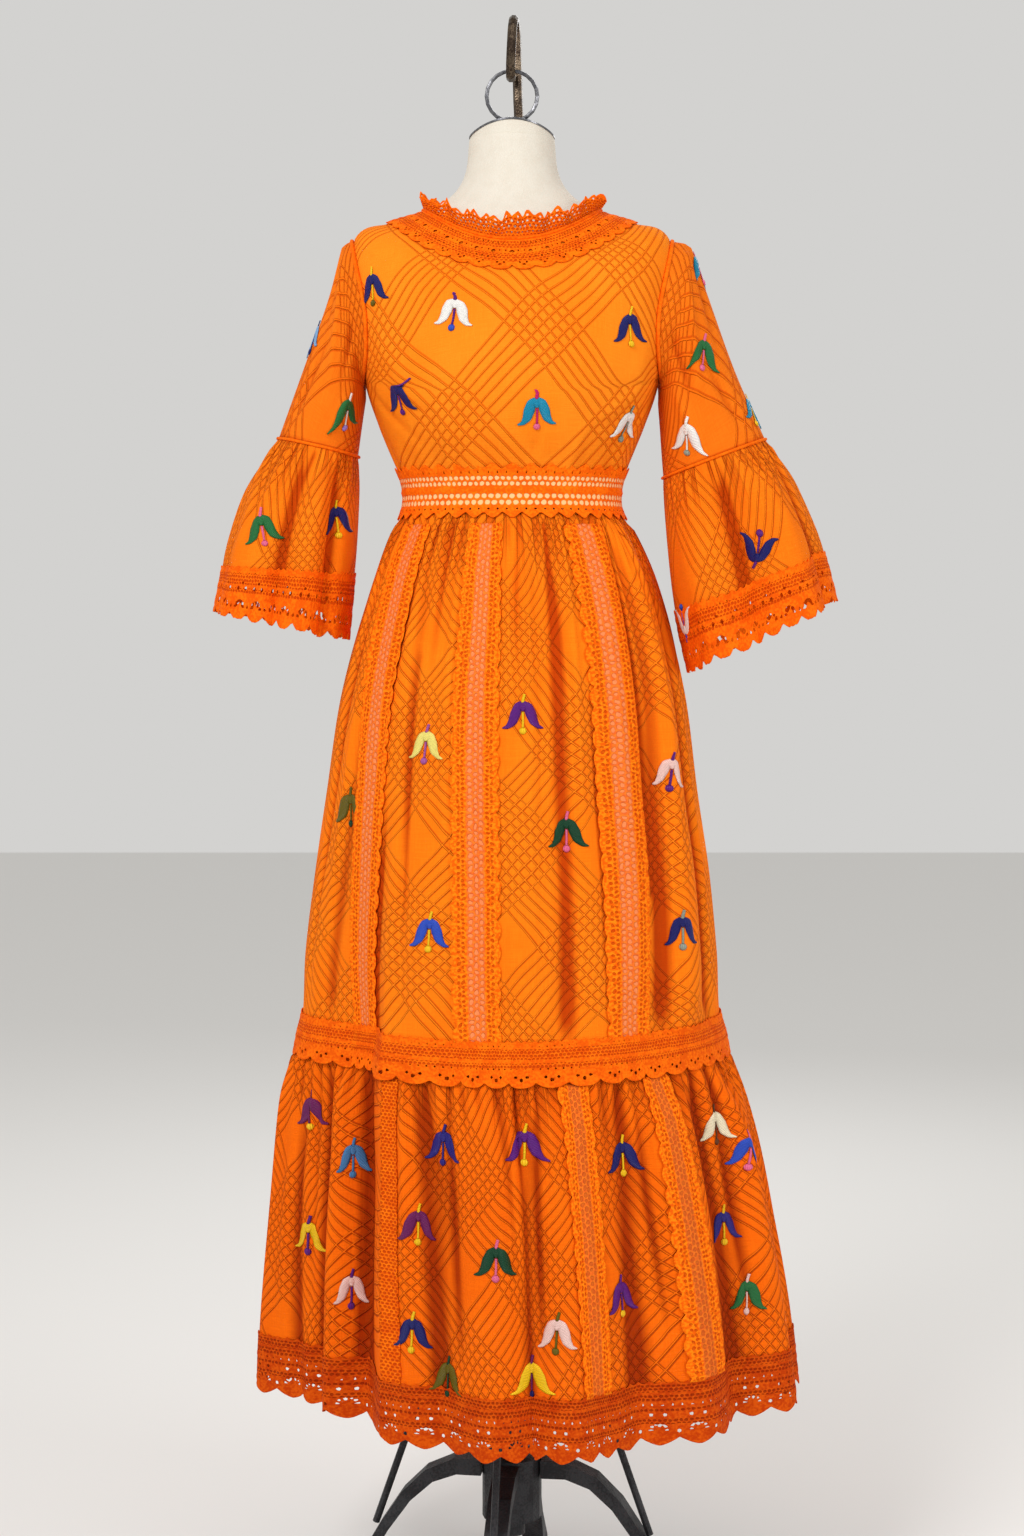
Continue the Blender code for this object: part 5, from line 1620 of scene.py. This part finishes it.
# %% [markdown]
# ### Upright insertions
# Strips of lace run down both skirts, with a raised scalloped border on each long edge and a thinner middle, painted
# paler on the upper skirt where the form shows through, and painted in shade on the lower tier. They are sewn onto the
# cloth.

# %% Insertions
STRIP_PITCH = 0.0225
STRIP_HALF = 0.0240
EDGING_HALF = 0.0100


def strip_field(half):
    def field(along, across):
        wave = np.abs(np.sin(along / STRIP_PITCH * math.pi)) ** 0.7
        return half * (0.80 + 0.20 * wave) - np.abs(across)

    return field


def insertion(name, cloth, first, last, top, bottom, half, strip):
    middle, reach = (first + last) / 2, (last - first) / 2
    along = steps(0.0, top - bottom, 0.0030)
    across = steps(-half, half, 0.0028)
    field = strip_field(half)
    row, column = np.meshgrid(along, across, indexing="ij")
    points, faces = cut_from_field(field(row, column))
    v = np.interp(points[:, 0], np.arange(len(along)), along)
    u = np.interp(points[:, 1], np.arange(len(across)), across)
    raised = 0.0006 * np.exp(-((np.maximum(field(v, u), 0) / 0.0013) ** 2))
    ribs = 0.0010 * soft_step((np.abs(u) - 0.0078) / 0.0020) * (half > 0.012)
    placed = cloth.at(top - v, middle + reach * u / half, 0.0004 + raised + ribs)
    cut = np.stack([u, v], axis=-1)
    finish = strip if half > 0.012 else EDGING_LACE
    return sheet_from(name, placed, faces, cut, finish, 0.0008, outwards=True)


insertions = []
for tier, cloths, laces, top, bottom in (
    ("upper", UPPER_SKIRTS, {"front": UPPER_FRONT_LACES, "back": UPPER_BACK_LACES}, 1.2460, 0.6880),
    ("lower", LOWER_SKIRTS, {"front": LOWER_FRONT_LACES, "back": LOWER_BACK_LACES}, 0.6450, 0.3270),
):
    for facing in ("front", "back"):
        for number, (first, last) in enumerate(laces[facing], 1):
            half = EDGING_HALF if last - first == 1 else STRIP_HALF
            name = f"{tier}_lace_{facing}_{number}"
            made = insertion(name + "_net", cloths[facing], first, last, top, bottom, half, STRIP_LACE[tier])
            insertions.append((made, name, f"{tier}_skirt_{facing}"))
print("insertions:", len(insertions))

# %% [markdown]
# ## Embroidered flowers
# Small bell flowers are worked by hand in satin stitch: two petals that flare from a narrow
# top, a stem above, and in the gap between them a thin pistil with a ball of thread. Each petal is a strip that swells
# and tapers along a bent line, domed in the middle. A flower is drawn flat, then laid on the
# cloth point by point, so it bends over the folds beneath it.

# %% One flower, flat
def satin(spine, halves, dome, tone):
    """A strip of satin stitch: its points, heights, stitch map and faces."""
    spine = np.array(spine, float)
    t = np.linspace(0, len(spine) - 1, 4 * len(spine) - 3)
    k = np.arange(len(spine))
    line = np.stack([np.interp(t, k, spine[:, 0]), np.interp(t, k, spine[:, 1])], axis=-1)
    line[1:-1] = (line[:-2] + 2 * line[1:-1] + line[2:]) / 4
    width = np.interp(t, k, halves)
    ahead = np.gradient(line, axis=0)
    ahead = ahead / np.linalg.norm(ahead, axis=1, keepdims=True)
    side = np.stack([ahead[:, 1], -ahead[:, 0]], axis=-1)
    across = np.linspace(-1, 1, 5)
    flat = line[:, None, :] + side[:, None, :] * (across[None, :] * width[:, None])[..., None]
    high = dome * np.sqrt(np.clip(1.05 - across[None, :] ** 2, 0, 1)) * np.ones(len(line))[:, None]
    run = np.concatenate([[0], np.cumsum(np.linalg.norm(np.diff(line, axis=0), axis=1))])
    stitch = np.stack(np.broadcast_arrays(run[:, None], across[None, :] * width[:, None]), axis=-1)
    return flat.reshape(-1, 2), high.ravel(), stitch.reshape(-1, 2), grid_faces(len(line), 5), tone


def ball(middle, radius, tone):
    turns = np.arange(12) * math.pi / 6
    flat, high = [middle], [radius * 0.55]
    for share, rise in ((0.6, 0.45), (1.0, 0.08)):
        for turn in turns:
            flat.append((middle[0] + radius * share * math.cos(turn), middle[1] + radius * share * math.sin(turn)))
            high.append(radius * rise)
    faces = [(0, 1 + k, 1 + (k + 1) % 12) for k in range(12)]
    faces += [(1 + k, 13 + k, 13 + (k + 1) % 12, 1 + (k + 1) % 12) for k in range(12)]
    flat = np.array(flat)
    return flat, np.array(high), flat.copy(), [tuple(reversed(face)) for face in faces], tone


PETAL = ((0.0008, 0.0150), (0.0054, 0.0108), (0.0084, 0.0030), (0.0112, -0.0052), (0.0164, -0.0112), (0.0222, -0.0128))
PETAL_HALVES = (0.0022, 0.0047, 0.0056, 0.0047, 0.0022, 0.0003)


def flower_parts(flip):
    """Petals, stem, pistil and ball, drawn about the flower's middle."""
    left = satin([(-x, y) for x, y in PETAL], PETAL_HALVES, 0.0011, 0)
    right = satin(PETAL, PETAL_HALVES, 0.0011, 0)
    middle = satin([(0.0, 0.0150), (0.0, 0.0110), (0.0, 0.0060)], [0.0022, 0.0046, 0.0010], 0.0014, 0)
    stem = satin([(0.0, 0.0140), (0.0006, 0.0190), (0.0022, 0.0245)], [0.0017, 0.0014, 0.0012], 0.0010, 1)
    pistil = satin([(0.0, 0.0050), (0.0, -0.0040), (-0.0004, -0.0125)], [0.0009, 0.0009, 0.0009], 0.0008, 1)
    parts = [left, right, middle, stem, pistil, ball((-0.0005, -0.0158), 0.0037, 2)]
    if flip:
        parts = [(flat * (-1, -1), high, cut, faces, tone) for flat, high, cut, faces, tone in parts]
    return parts


# %% [markdown]
# To lay a flower, the cloth's own directions are measured round its middle, over about the
# flower's size. That tells how far a row and a column must change to move one millimetre to
# the right or up. A flower seen in the picture is found by testing which point of the cloth
# falls on its place there.

# %% Laying a flower
def seen_at(cloth, px, py):
    """The row and column of the cloth that the camera sees at a place of the picture."""
    row, column = np.meshgrid(np.linspace(*cloth.rows, 90), np.linspace(*cloth.columns, 220), indexing="ij")
    point = cloth.place(row, column) + AXIS
    toward = EYE - point
    facing = (cloth.normal(row, column) * toward).sum(axis=-1) > 0
    across = PICTURE[0] / 2 - FOCAL_PIXELS * toward[..., 0] / -toward[..., 1]
    down = HORIZON + FOCAL_PIXELS * toward[..., 2] / -toward[..., 1]
    miss = np.hypot(across - px, down - py) + np.where(facing, 0, 1e3) + 20 * point[..., 1]
    best = np.unravel_index(np.argmin(miss), miss.shape)
    return row[best], column[best]


def lay_flat(cloth, row, column, flat, lift, turn=0.0):
    """Lays flat points, in metres to the right and up, round a place of the cloth."""
    reach = 0.012

    def slopes(dr, dc):
        down = (cloth.place(row + dr, column + 0 * dr) - cloth.place(row - dr, column + 0 * dr)) / (2 * dr)
        along = (cloth.place(row + 0 * dc, column + dc) - cloth.place(row + 0 * dc, column - dc)) / (2 * dc)
        return down, along

    row, column = np.array(row, float), np.array(column, float)
    down, along = slopes(*np.abs(cloth.steps))
    dr, dc = reach / np.linalg.norm(down), reach / np.linalg.norm(along)
    down, along = slopes(dr, dc)
    away = np.cross(down * np.sign(cloth.steps[0]), along)
    away = away / np.linalg.norm(away)
    up = np.array((0, 0, 1.0)) - away * away[2]
    up = up / np.linalg.norm(up)
    right = np.cross(up, away)
    c, s = math.cos(turn), math.sin(turn)
    right, up = right * c + up * s, up * c - right * s
    table = np.array([[right @ down, right @ along], [up @ down, up @ along]])
    shift = np.linalg.solve(table, flat.T).T
    return cloth.at(row + shift[:, 0], column + shift[:, 1], lift)


THREADS = {
    "navy": shade(24, 28, 104), "white": shade(252, 248, 242), "purple": shade(96, 26, 128), "blue": shade(44, 80, 196),
    "sky": shade(132, 178, 226), "green": shade(34, 112, 58), "teal": shade(10, 142, 180), "lemon": shade(252, 234, 124),
    "mauve": shade(172, 88, 164), "yellow": shade(252, 202, 22), "olive": shade(108, 94, 16), "forest": shade(8, 66, 40),
    "pink": shade(240, 108, 152), "blush": shade(252, 210, 200), "plum": shade(112, 26, 92), "steel": shade(70, 130, 186),
    "indigo": shade(42, 36, 128), "cream": shade(250, 236, 200), "brown": shade(104, 58, 30), "magenta": shade(206, 24, 110),
    "lavender": shade(160, 130, 214), "grey": shade(150, 160, 146),
}


def embroider(name, cloths, flowers):
    """All flowers of one region as one object: px, py, petals, stem, ball, flip, turn."""
    points, faces, cut, colours, count = [], [], [], [], 0
    for cloth, row, column, petals, stem, knot, flip, turn in flowers:
        shades = [THREADS[petals], THREADS[stem], THREADS[knot]]
        for flat, high, stitch_map, part_faces, tone in flower_parts(flip):
            points.append(lay_flat(cloths[cloth], row, column, flat, high + 0.0003, turn))
            cut.append(stitch_map)
            colours.append(np.tile((*shades[tone], 1.0), (len(flat), 1)))
            faces += [tuple(corner + count for corner in face) for face in part_faces]
            count += len(flat)
    made = sheet_from(
        name, np.concatenate(points), faces, np.concatenate(cut), THREAD, 0.0005, colours=np.concatenate(colours)
    )
    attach(made, "root")
    print(name, len(flowers), "flowers,", len(made.data.polygons), "faces")
    return made


# %% Flowers on the front
CLOTHS = {
    "bodice": FRONT_BODICE,
    "bodice_back": BACK_BODICE,
    "sleeve_left": SLEEVES["left"],
    "sleeve_right": SLEEVES["right"],
    "flounce_left": FLOUNCES["left"],
    "flounce_right": FLOUNCES["right"],
    "upper": UPPER_SKIRTS["front"],
    "upper_back": UPPER_SKIRTS["back"],
    "lower": LOWER_SKIRTS["front"],
    "lower_back": LOWER_SKIRTS["back"],
}
SEEN = (
    # cloth, picture place, petals, stem, ball, upside down, turn
    ("bodice", 374, 288, "navy", "yellow", "olive", False, 0.1),
    ("bodice", 455, 313, "white", "purple", "blue", False, -0.1),
    ("bodice", 629, 328, "navy", "yellow", "yellow", False, 0.1),
    ("bodice", 400, 400, "navy", "purple", "purple", False, 0.0),
    ("bodice", 538, 412, "teal", "magenta", "pink", False, 0.05),
    ("bodice", 626, 425, "white", "grey", "grey", False, 0.1),
    ("sleeve_left", 313, 340, "sky", "navy", "navy", False, 0.3),
    ("sleeve_left", 346, 415, "green", "white", "lavender", False, 0.1),
    ("sleeve_right", 703, 268, "teal", "pink", "pink", False, -0.2),
    ("sleeve_right", 704, 355, "green", "pink", "pink", False, -0.2),
    ("sleeve_right", 688, 440, "white", "white", "grey", False, -0.1),
    ("sleeve_right", 752, 412, "teal", "yellow", "yellow", False, -0.3),
    ("flounce_left", 337, 521, "navy", "yellow", "yellow", False, 0.1),
    ("flounce_left", 262, 530, "green", "pink", "pink", False, 0.2),
    ("flounce_right", 759, 548, "navy", "purple", "purple", True, -0.1),
    ("flounce_right", 684, 620, "white", "blue", "blue", True, 0.1),
    ("upper", 425, 748, "lemon", "mauve", "mauve", False, 0.0),
    ("upper", 524, 718, "purple", "yellow", "yellow", False, 0.0),
    ("upper", 352, 808, "olive", "olive", "forest", False, 0.1),
    ("upper", 567, 831, "forest", "pink", "pink", False, 0.0),
    ("upper", 670, 772, "blush", "purple", "purple", False, -0.1),
    ("upper", 428, 937, "blue", "yellow", "yellow", False, 0.0),
    ("upper", 682, 932, "navy", "grey", "grey", False, 0.0),
    ("lower", 310, 1112, "plum", "plum", "yellow", False, 0.1),
    ("lower", 350, 1160, "steel", "steel", "steel", False, 0.0),
    ("lower", 443, 1147, "indigo", "indigo", "indigo", False, 0.0),
    ("lower", 526, 1149, "purple", "yellow", "yellow", False, 0.0),
    ("lower", 622, 1156, "navy", "yellow", "yellow", False, 0.0),
    ("lower", 716, 1128, "cream", "brown", "brown", False, 0.0),
    ("lower", 750, 1152, "blue", "pink", "pink", False, -0.1),
    ("lower", 310, 1236, "yellow", "purple", "purple", False, 0.0),
    ("lower", 420, 1228, "plum", "yellow", "yellow", False, 0.0),
    ("lower", 724, 1226, "indigo", "yellow", "yellow", False, 0.0),
    ("lower", 350, 1290, "blush", "purple", "purple", False, 0.0),
    ("lower", 496, 1265, "forest", "pink", "pink", False, 0.0),
    ("lower", 620, 1297, "purple", "purple", "yellow", False, 0.0),
    ("lower", 745, 1295, "green", "blush", "blush", False, -0.1),
    ("lower", 410, 1335, "navy", "yellow", "yellow", False, 0.0),
    ("lower", 556, 1335, "blush", "olive", "olive", False, 0.0),
    ("lower", 449, 1380, "olive", "forest", "forest", False, 0.0),
    ("lower", 532, 1380, "yellow", "plum", "navy", False, 0.0),
)


def front_flowers(*names):
    return [(name, *seen_at(CLOTHS[name], px, py), *rest) for name, px, py, *rest in SEEN if name in names]


bodice_flowers = embroider("flowers_on_bodice", CLOTHS, front_flowers("bodice"))
arm_names = ("sleeve_left", "sleeve_right", "flounce_left", "flounce_right")
arm_flowers = embroider("flowers_on_sleeves", CLOTHS, front_flowers(*arm_names))
upper_flowers = embroider("flowers_on_upper_skirt", CLOTHS, front_flowers("upper"))
lower_flowers = embroider("flowers_on_lower_tier", CLOTHS, front_flowers("lower"))

# %% Flowers on the back
BACK = (
    # cloth, row, column, petals, stem, ball
    ("bodice_back", 5.2, -0.40, "navy", "yellow", "yellow"),
    ("bodice_back", 5.2, 0.42, "white", "purple", "blue"),
    ("bodice_back", 6.4, 0.02, "teal", "magenta", "pink"),
    ("bodice_back", 7.6, -0.50, "green", "pink", "pink"),
    ("bodice_back", 7.7, 0.52, "purple", "yellow", "yellow"),
    ("upper_back", 1.12, 4.2, "blush", "purple", "purple"),
    ("upper_back", 1.09, 10.0, "navy", "yellow", "yellow"),
    ("upper_back", 1.12, 18.0, "forest", "pink", "pink"),
    ("upper_back", 1.02, 25.0, "lemon", "mauve", "mauve"),
    ("upper_back", 0.93, 3.2, "blue", "yellow", "yellow"),
    ("upper_back", 0.95, 10.2, "purple", "yellow", "yellow"),
    ("upper_back", 0.92, 18.2, "white", "grey", "grey"),
    ("upper_back", 0.80, 10.1, "olive", "forest", "forest"),
    ("upper_back", 0.78, 18.0, "indigo", "yellow", "yellow"),
    ("upper_back", 0.78, 25.4, "teal", "pink", "pink"),
    ("lower_back", 0.56, 3.0, "steel", "navy", "navy"),
    ("lower_back", 0.55, 11.6, "plum", "yellow", "yellow"),
    ("lower_back", 0.57, 20.5, "blush", "olive", "olive"),
    ("lower_back", 0.56, 29.0, "navy", "yellow", "yellow"),
    ("lower_back", 0.44, 4.2, "yellow", "plum", "navy"),
    ("lower_back", 0.43, 12.2, "green", "blush", "blush"),
    ("lower_back", 0.42, 20.0, "purple", "purple", "yellow"),
    ("lower_back", 0.44, 28.6, "forest", "pink", "pink"),
)
back_bodice_flowers = embroider("flowers_on_bodice_back", CLOTHS, [(*f, False, 0.0) for f in BACK[:5]])
back_upper_flowers = embroider("flowers_on_upper_skirt_back", CLOTHS, [(*f, False, 0.0) for f in BACK[5:15]])
back_lower_flowers = embroider("flowers_on_lower_tier_back", CLOTHS, [(*f, False, 0.0) for f in BACK[15:]])

# %% [markdown]
# ## Seams
# A seam in sheer cloth shows as a thin rolled line. The neckline is bound, each armhole is
# piped, and a cord of gathers holds each flounce. Each is a thin tube along a line that the
# cloth's own rule gives.

# %% Bindings and piping
def piping(name, points, radius, material, closed=True, around=8):
    """A thin tube along a line."""
    line = np.asarray(points, float)
    if closed:
        ahead = np.roll(line, -1, axis=0) - np.roll(line, 1, axis=0)
    else:
        ahead = np.gradient(line, axis=0)
    ahead = ahead / np.linalg.norm(ahead, axis=1, keepdims=True)
    first = np.cross(ahead, (0.31, 0.27, 1.0))
    first = first / np.linalg.norm(first, axis=1, keepdims=True)
    second = np.cross(ahead, first)
    turns = np.arange(around) * 2 * math.pi / around
    ring = first[:, None, :] * np.cos(turns)[None, :, None] + second[:, None, :] * np.sin(turns)[None, :, None]
    points = (line[:, None, :] + ring * radius).reshape(-1, 3) + AXIS
    faces = []
    count = len(line)
    for k in range(count if closed else count - 1):
        near, far = k * around, ((k + 1) % count) * around
        faces += [(near + j, far + j, far + (j + 1) % around, near + (j + 1) % around) for j in range(around)]
    if not closed:
        faces.append(tuple(range(around)))
        faces.append(tuple(reversed(range((count - 1) * around, count * around))))
    mesh = bpy.data.meshes.new(name)
    mesh.from_pydata(points.tolist(), [], faces)
    shape = bmesh.new()
    shape.from_mesh(mesh)
    bmesh.ops.recalc_face_normals(shape, faces=shape.faces)
    shape.to_mesh(mesh)
    shape.free()
    run = np.arange(count) * np.linalg.norm(np.diff(line, axis=0), axis=1).mean()
    cut = np.stack(np.broadcast_arrays(run[:, None], turns[None, :] * radius), axis=-1).reshape(-1, 2)
    corners = np.zeros(len(mesh.loops), np.int32)
    mesh.loops.foreach_get("vertex_index", corners)
    layer = mesh.uv_layers.new(name="cut")
    layer.data.foreach_set("uv", np.ascontiguousarray(cut[corners], np.float32).ravel())
    mesh.polygons.foreach_set("use_smooth", np.ones(len(mesh.polygons), bool))
    mesh.materials.append(material)
    thing = bpy.data.objects.new(name, mesh)
    bpy.context.scene.collection.objects.link(thing)
    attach(thing, "root")
    return thing


PIPING = lace("rolled voile of the seams", shade(246, 116, 12), shade(232, 96, 6), LACE_DARK)
TURN = np.linspace(-math.pi, math.pi, 160, endpoint=False)
piping("neck_binding", COLLAR_CLOTH.at(3.02 + 0 * TURN, TURN, 0.0016), 0.0018, LACE)
for side_name, side in (("left", -1), ("right", 1)):
    piping(f"armhole_piping_{side_name}", SLEEVES[side_name].at(-0.995 + 0 * TURN, TURN, -0.0004), 0.0024, PIPING)
    piping(f"flounce_cord_{side_name}", FLOUNCES[side_name].at(0.02 + 0 * TURN, TURN, 0.0010), 0.0018, PIPING)
print("seams: neck, two armholes, two flounces")

# %% [markdown]
# ## The sheets and their solids
# Each sheet is attached to the root body, the solid that it stands for is hidden, and the size of its flat cut is
# printed.

# %% Attaching the sheets and hiding their solids
declare(front_bodice, "bodice_front")
declare(back_bodice, "bodice_back")
for side_name in ("left", "right"):
    declare(sleeve_sheets[side_name], "sleeve_" + side_name)
    declare(flounce_sheets[side_name], "flounce_" + side_name)
    declare(trims[side_name], "flounce_lace_" + side_name)
for facing, flowers, low_flowers in (
    ("front", upper_flowers, lower_flowers),
    ("back", back_upper_flowers, back_lower_flowers),
):
    strips = [made for made, _, base in insertions if base == "upper_skirt_" + facing]
    low_strips = [made for made, _, base in insertions if base == "lower_skirt_" + facing]
    declare(waist_lace[facing], "waist_lace_" + facing)
    declare(upper_sheets[facing], "upper_skirt_" + facing)
    declare(lower_sheets[facing], "lower_skirt_" + facing)
    declare(tier_lace[facing], "tier_lace_" + facing)
    declare(hem_lace[facing], "hem_lace_" + facing)
declare(collar, "collar_lace")
declare(frill, "neck_frill")
for made, node, base in insertions:
    under = base.replace("lower_skirt", "lower_tier") + "_cloth"
    declare(made, node)

# %% [markdown]
# ## Neck cap
# The neck ends in a shallow saddle, higher at the front and back than at the sides, and a thin
# domed steel cap is pressed on it, so only a slim grey edge shows from the front. Both start
# as cylinders. Their upper vertices are raised by the saddle, and the cap's top is inset and
# lifted into a dome.

# %% Neck top and cap
NECK_TOP = 1.6904
SADDLE = 0.0145


def saddle_up(mesh, above, amount):
    """Raises the vertices above a height at the front and back of the neck."""
    for vertex in mesh.vertices:
        if vertex.co.z > above:
            away = vertex.co.x - AXIS[0], vertex.co.y - AXIS[1]
            far = max(math.hypot(*away), 0.0001)
            share = min(far / 0.045, 1.0)
            vertex.co.z += amount * (away[1] / far) ** 2 * share


def turned(name, radius, low, high, vertices=72):
    """A cylinder round the neck's axis, with its place in its mesh."""
    bpy.ops.object.select_all(action="DESELECT")
    middle = (AXIS[0], AXIS[1], (low + high) / 2)
    bpy.ops.mesh.primitive_cylinder_add(vertices=vertices, radius=radius, depth=high - low, location=middle)
    thing = bpy.context.object
    thing.name = name
    bpy.ops.object.transform_apply(location=True, rotation=True, scale=True)
    return thing


def inset_top(thing, above, steps):
    """Insets the top face again and again, lifting it each time."""
    bpy.ops.object.mode_set(mode="EDIT")
    bpy.ops.mesh.select_all(action="DESELECT")
    shape = bmesh.from_edit_mesh(thing.data)
    for face in shape.faces:
        face.select = face.normal.z > 0.9 and face.calc_center_median().z > above
    bmesh.update_edit_mesh(thing.data)
    for inset, lift in steps:
        bpy.ops.mesh.inset(thickness=inset, depth=0.0)
        bpy.ops.transform.translate(value=(0, 0, lift))
    bpy.ops.object.mode_set(mode="OBJECT")


neck_top = turned("neck_top", 0.0484, NECK_TOP - 0.0002, NECK_TOP + 0.0014)
saddle_up(neck_top.data, NECK_TOP + 0.0005, SADDLE)
cap = turned("steel_neck_cap", 0.0494, NECK_TOP + 0.0010, NECK_TOP + 0.0030)
inset_top(cap, NECK_TOP + 0.0024, ((0.0030, 0.0008), (0.0140, 0.0020), (0.0160, 0.0010)))
saddle_up(cap.data, NECK_TOP + 0.0005, SADDLE)
for thing, finish, slot_name in ((neck_top, JERSEY, "form"), (cap, STEEL, "steel")):
    thing.data.materials.append(finish)
    select_only(thing)
    bpy.ops.object.shade_smooth_by_angle(angle=math.radians(35))
    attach(thing, "root")
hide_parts("neck_cap")
print("neck cap faces:", len(cap.data.polygons))

# %% [markdown]
# ## The solids that stay
# The ring, hook and stand are rigid and already have their right shapes, so they keep their meshes and take on real
# finishes.

# %% Finishes of the solids
for name, node in NODES.items():
    if node.hide_render:
        continue
    finish = IRON if name.startswith("stand") else BRONZE if name == "hanging_hook" else STEEL
    node.data.materials.clear()
    node.data.materials.append(finish)
    for polygon in node.data.polygons:
        polygon.use_smooth = False
    select_only(node)
    bpy.ops.object.shade_smooth_by_angle(angle=math.radians(40))
    print("kept solid:", name)

# %% [markdown]
# ## Floor and light
# A pale floor and a pale world are the studio. One soft light stands high on the left and
# draws out the folds, a weaker one on the right fills, and one behind lights the edges.

# %% Studio
bpy.ops.object.select_all(action="DESELECT")
bpy.ops.mesh.primitive_plane_add(size=14.0, location=(0, 2.0, 0))
floor = bpy.context.object
floor.name = "studio_floor"
floor_finish = Finish("pale floor", 0.9)
floor_finish.paint("Base Color", floor_finish.mix(0.5, (0.80, 0.79, 0.77), (0.78, 0.77, 0.75)))
floor.data.materials.append(floor_finish.material)


def soft_light(name, place, aim, size, power):
    data = bpy.data.lights.new(name, "AREA")
    data.size = size
    data.energy = power
    lamp = bpy.data.objects.new(name, data)
    lamp.location = place
    toward = np.array(aim) - np.array(place)
    flat = math.hypot(toward[0], toward[1])
    lamp.rotation_euler = (math.atan2(flat, -toward[2]), 0, math.atan2(toward[1], toward[0]) - math.pi / 2)
    bpy.context.scene.collection.objects.link(lamp)


soft_light("key", (-1.4, -2.5, 3.0), (0, 0, 1.0), 1.1, 68)
soft_light("side", (2.5, -1.7, 1.7), (0, 0, 0.9), 1.3, 26)
soft_light("rim", (0.6, 2.4, 2.4), (0, 0, 1.0), 1.6, 22)
world = bpy.data.worlds.new("studio")
world.use_nodes = True
world.node_tree.nodes["Background"].inputs["Color"].default_value = (0.93, 0.92, 0.90, 1.0)
world.node_tree.nodes["Background"].inputs["Strength"].default_value = 0.70
bpy.context.scene.world = world
bpy.context.scene.view_settings.view_transform = "Standard"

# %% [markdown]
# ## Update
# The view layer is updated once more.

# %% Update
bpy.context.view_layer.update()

# %% Finish
shown = sum(len(thing.data.loop_triangles) for thing in bpy.data.objects if thing.type == "MESH")
print("triangles in all:", shown)
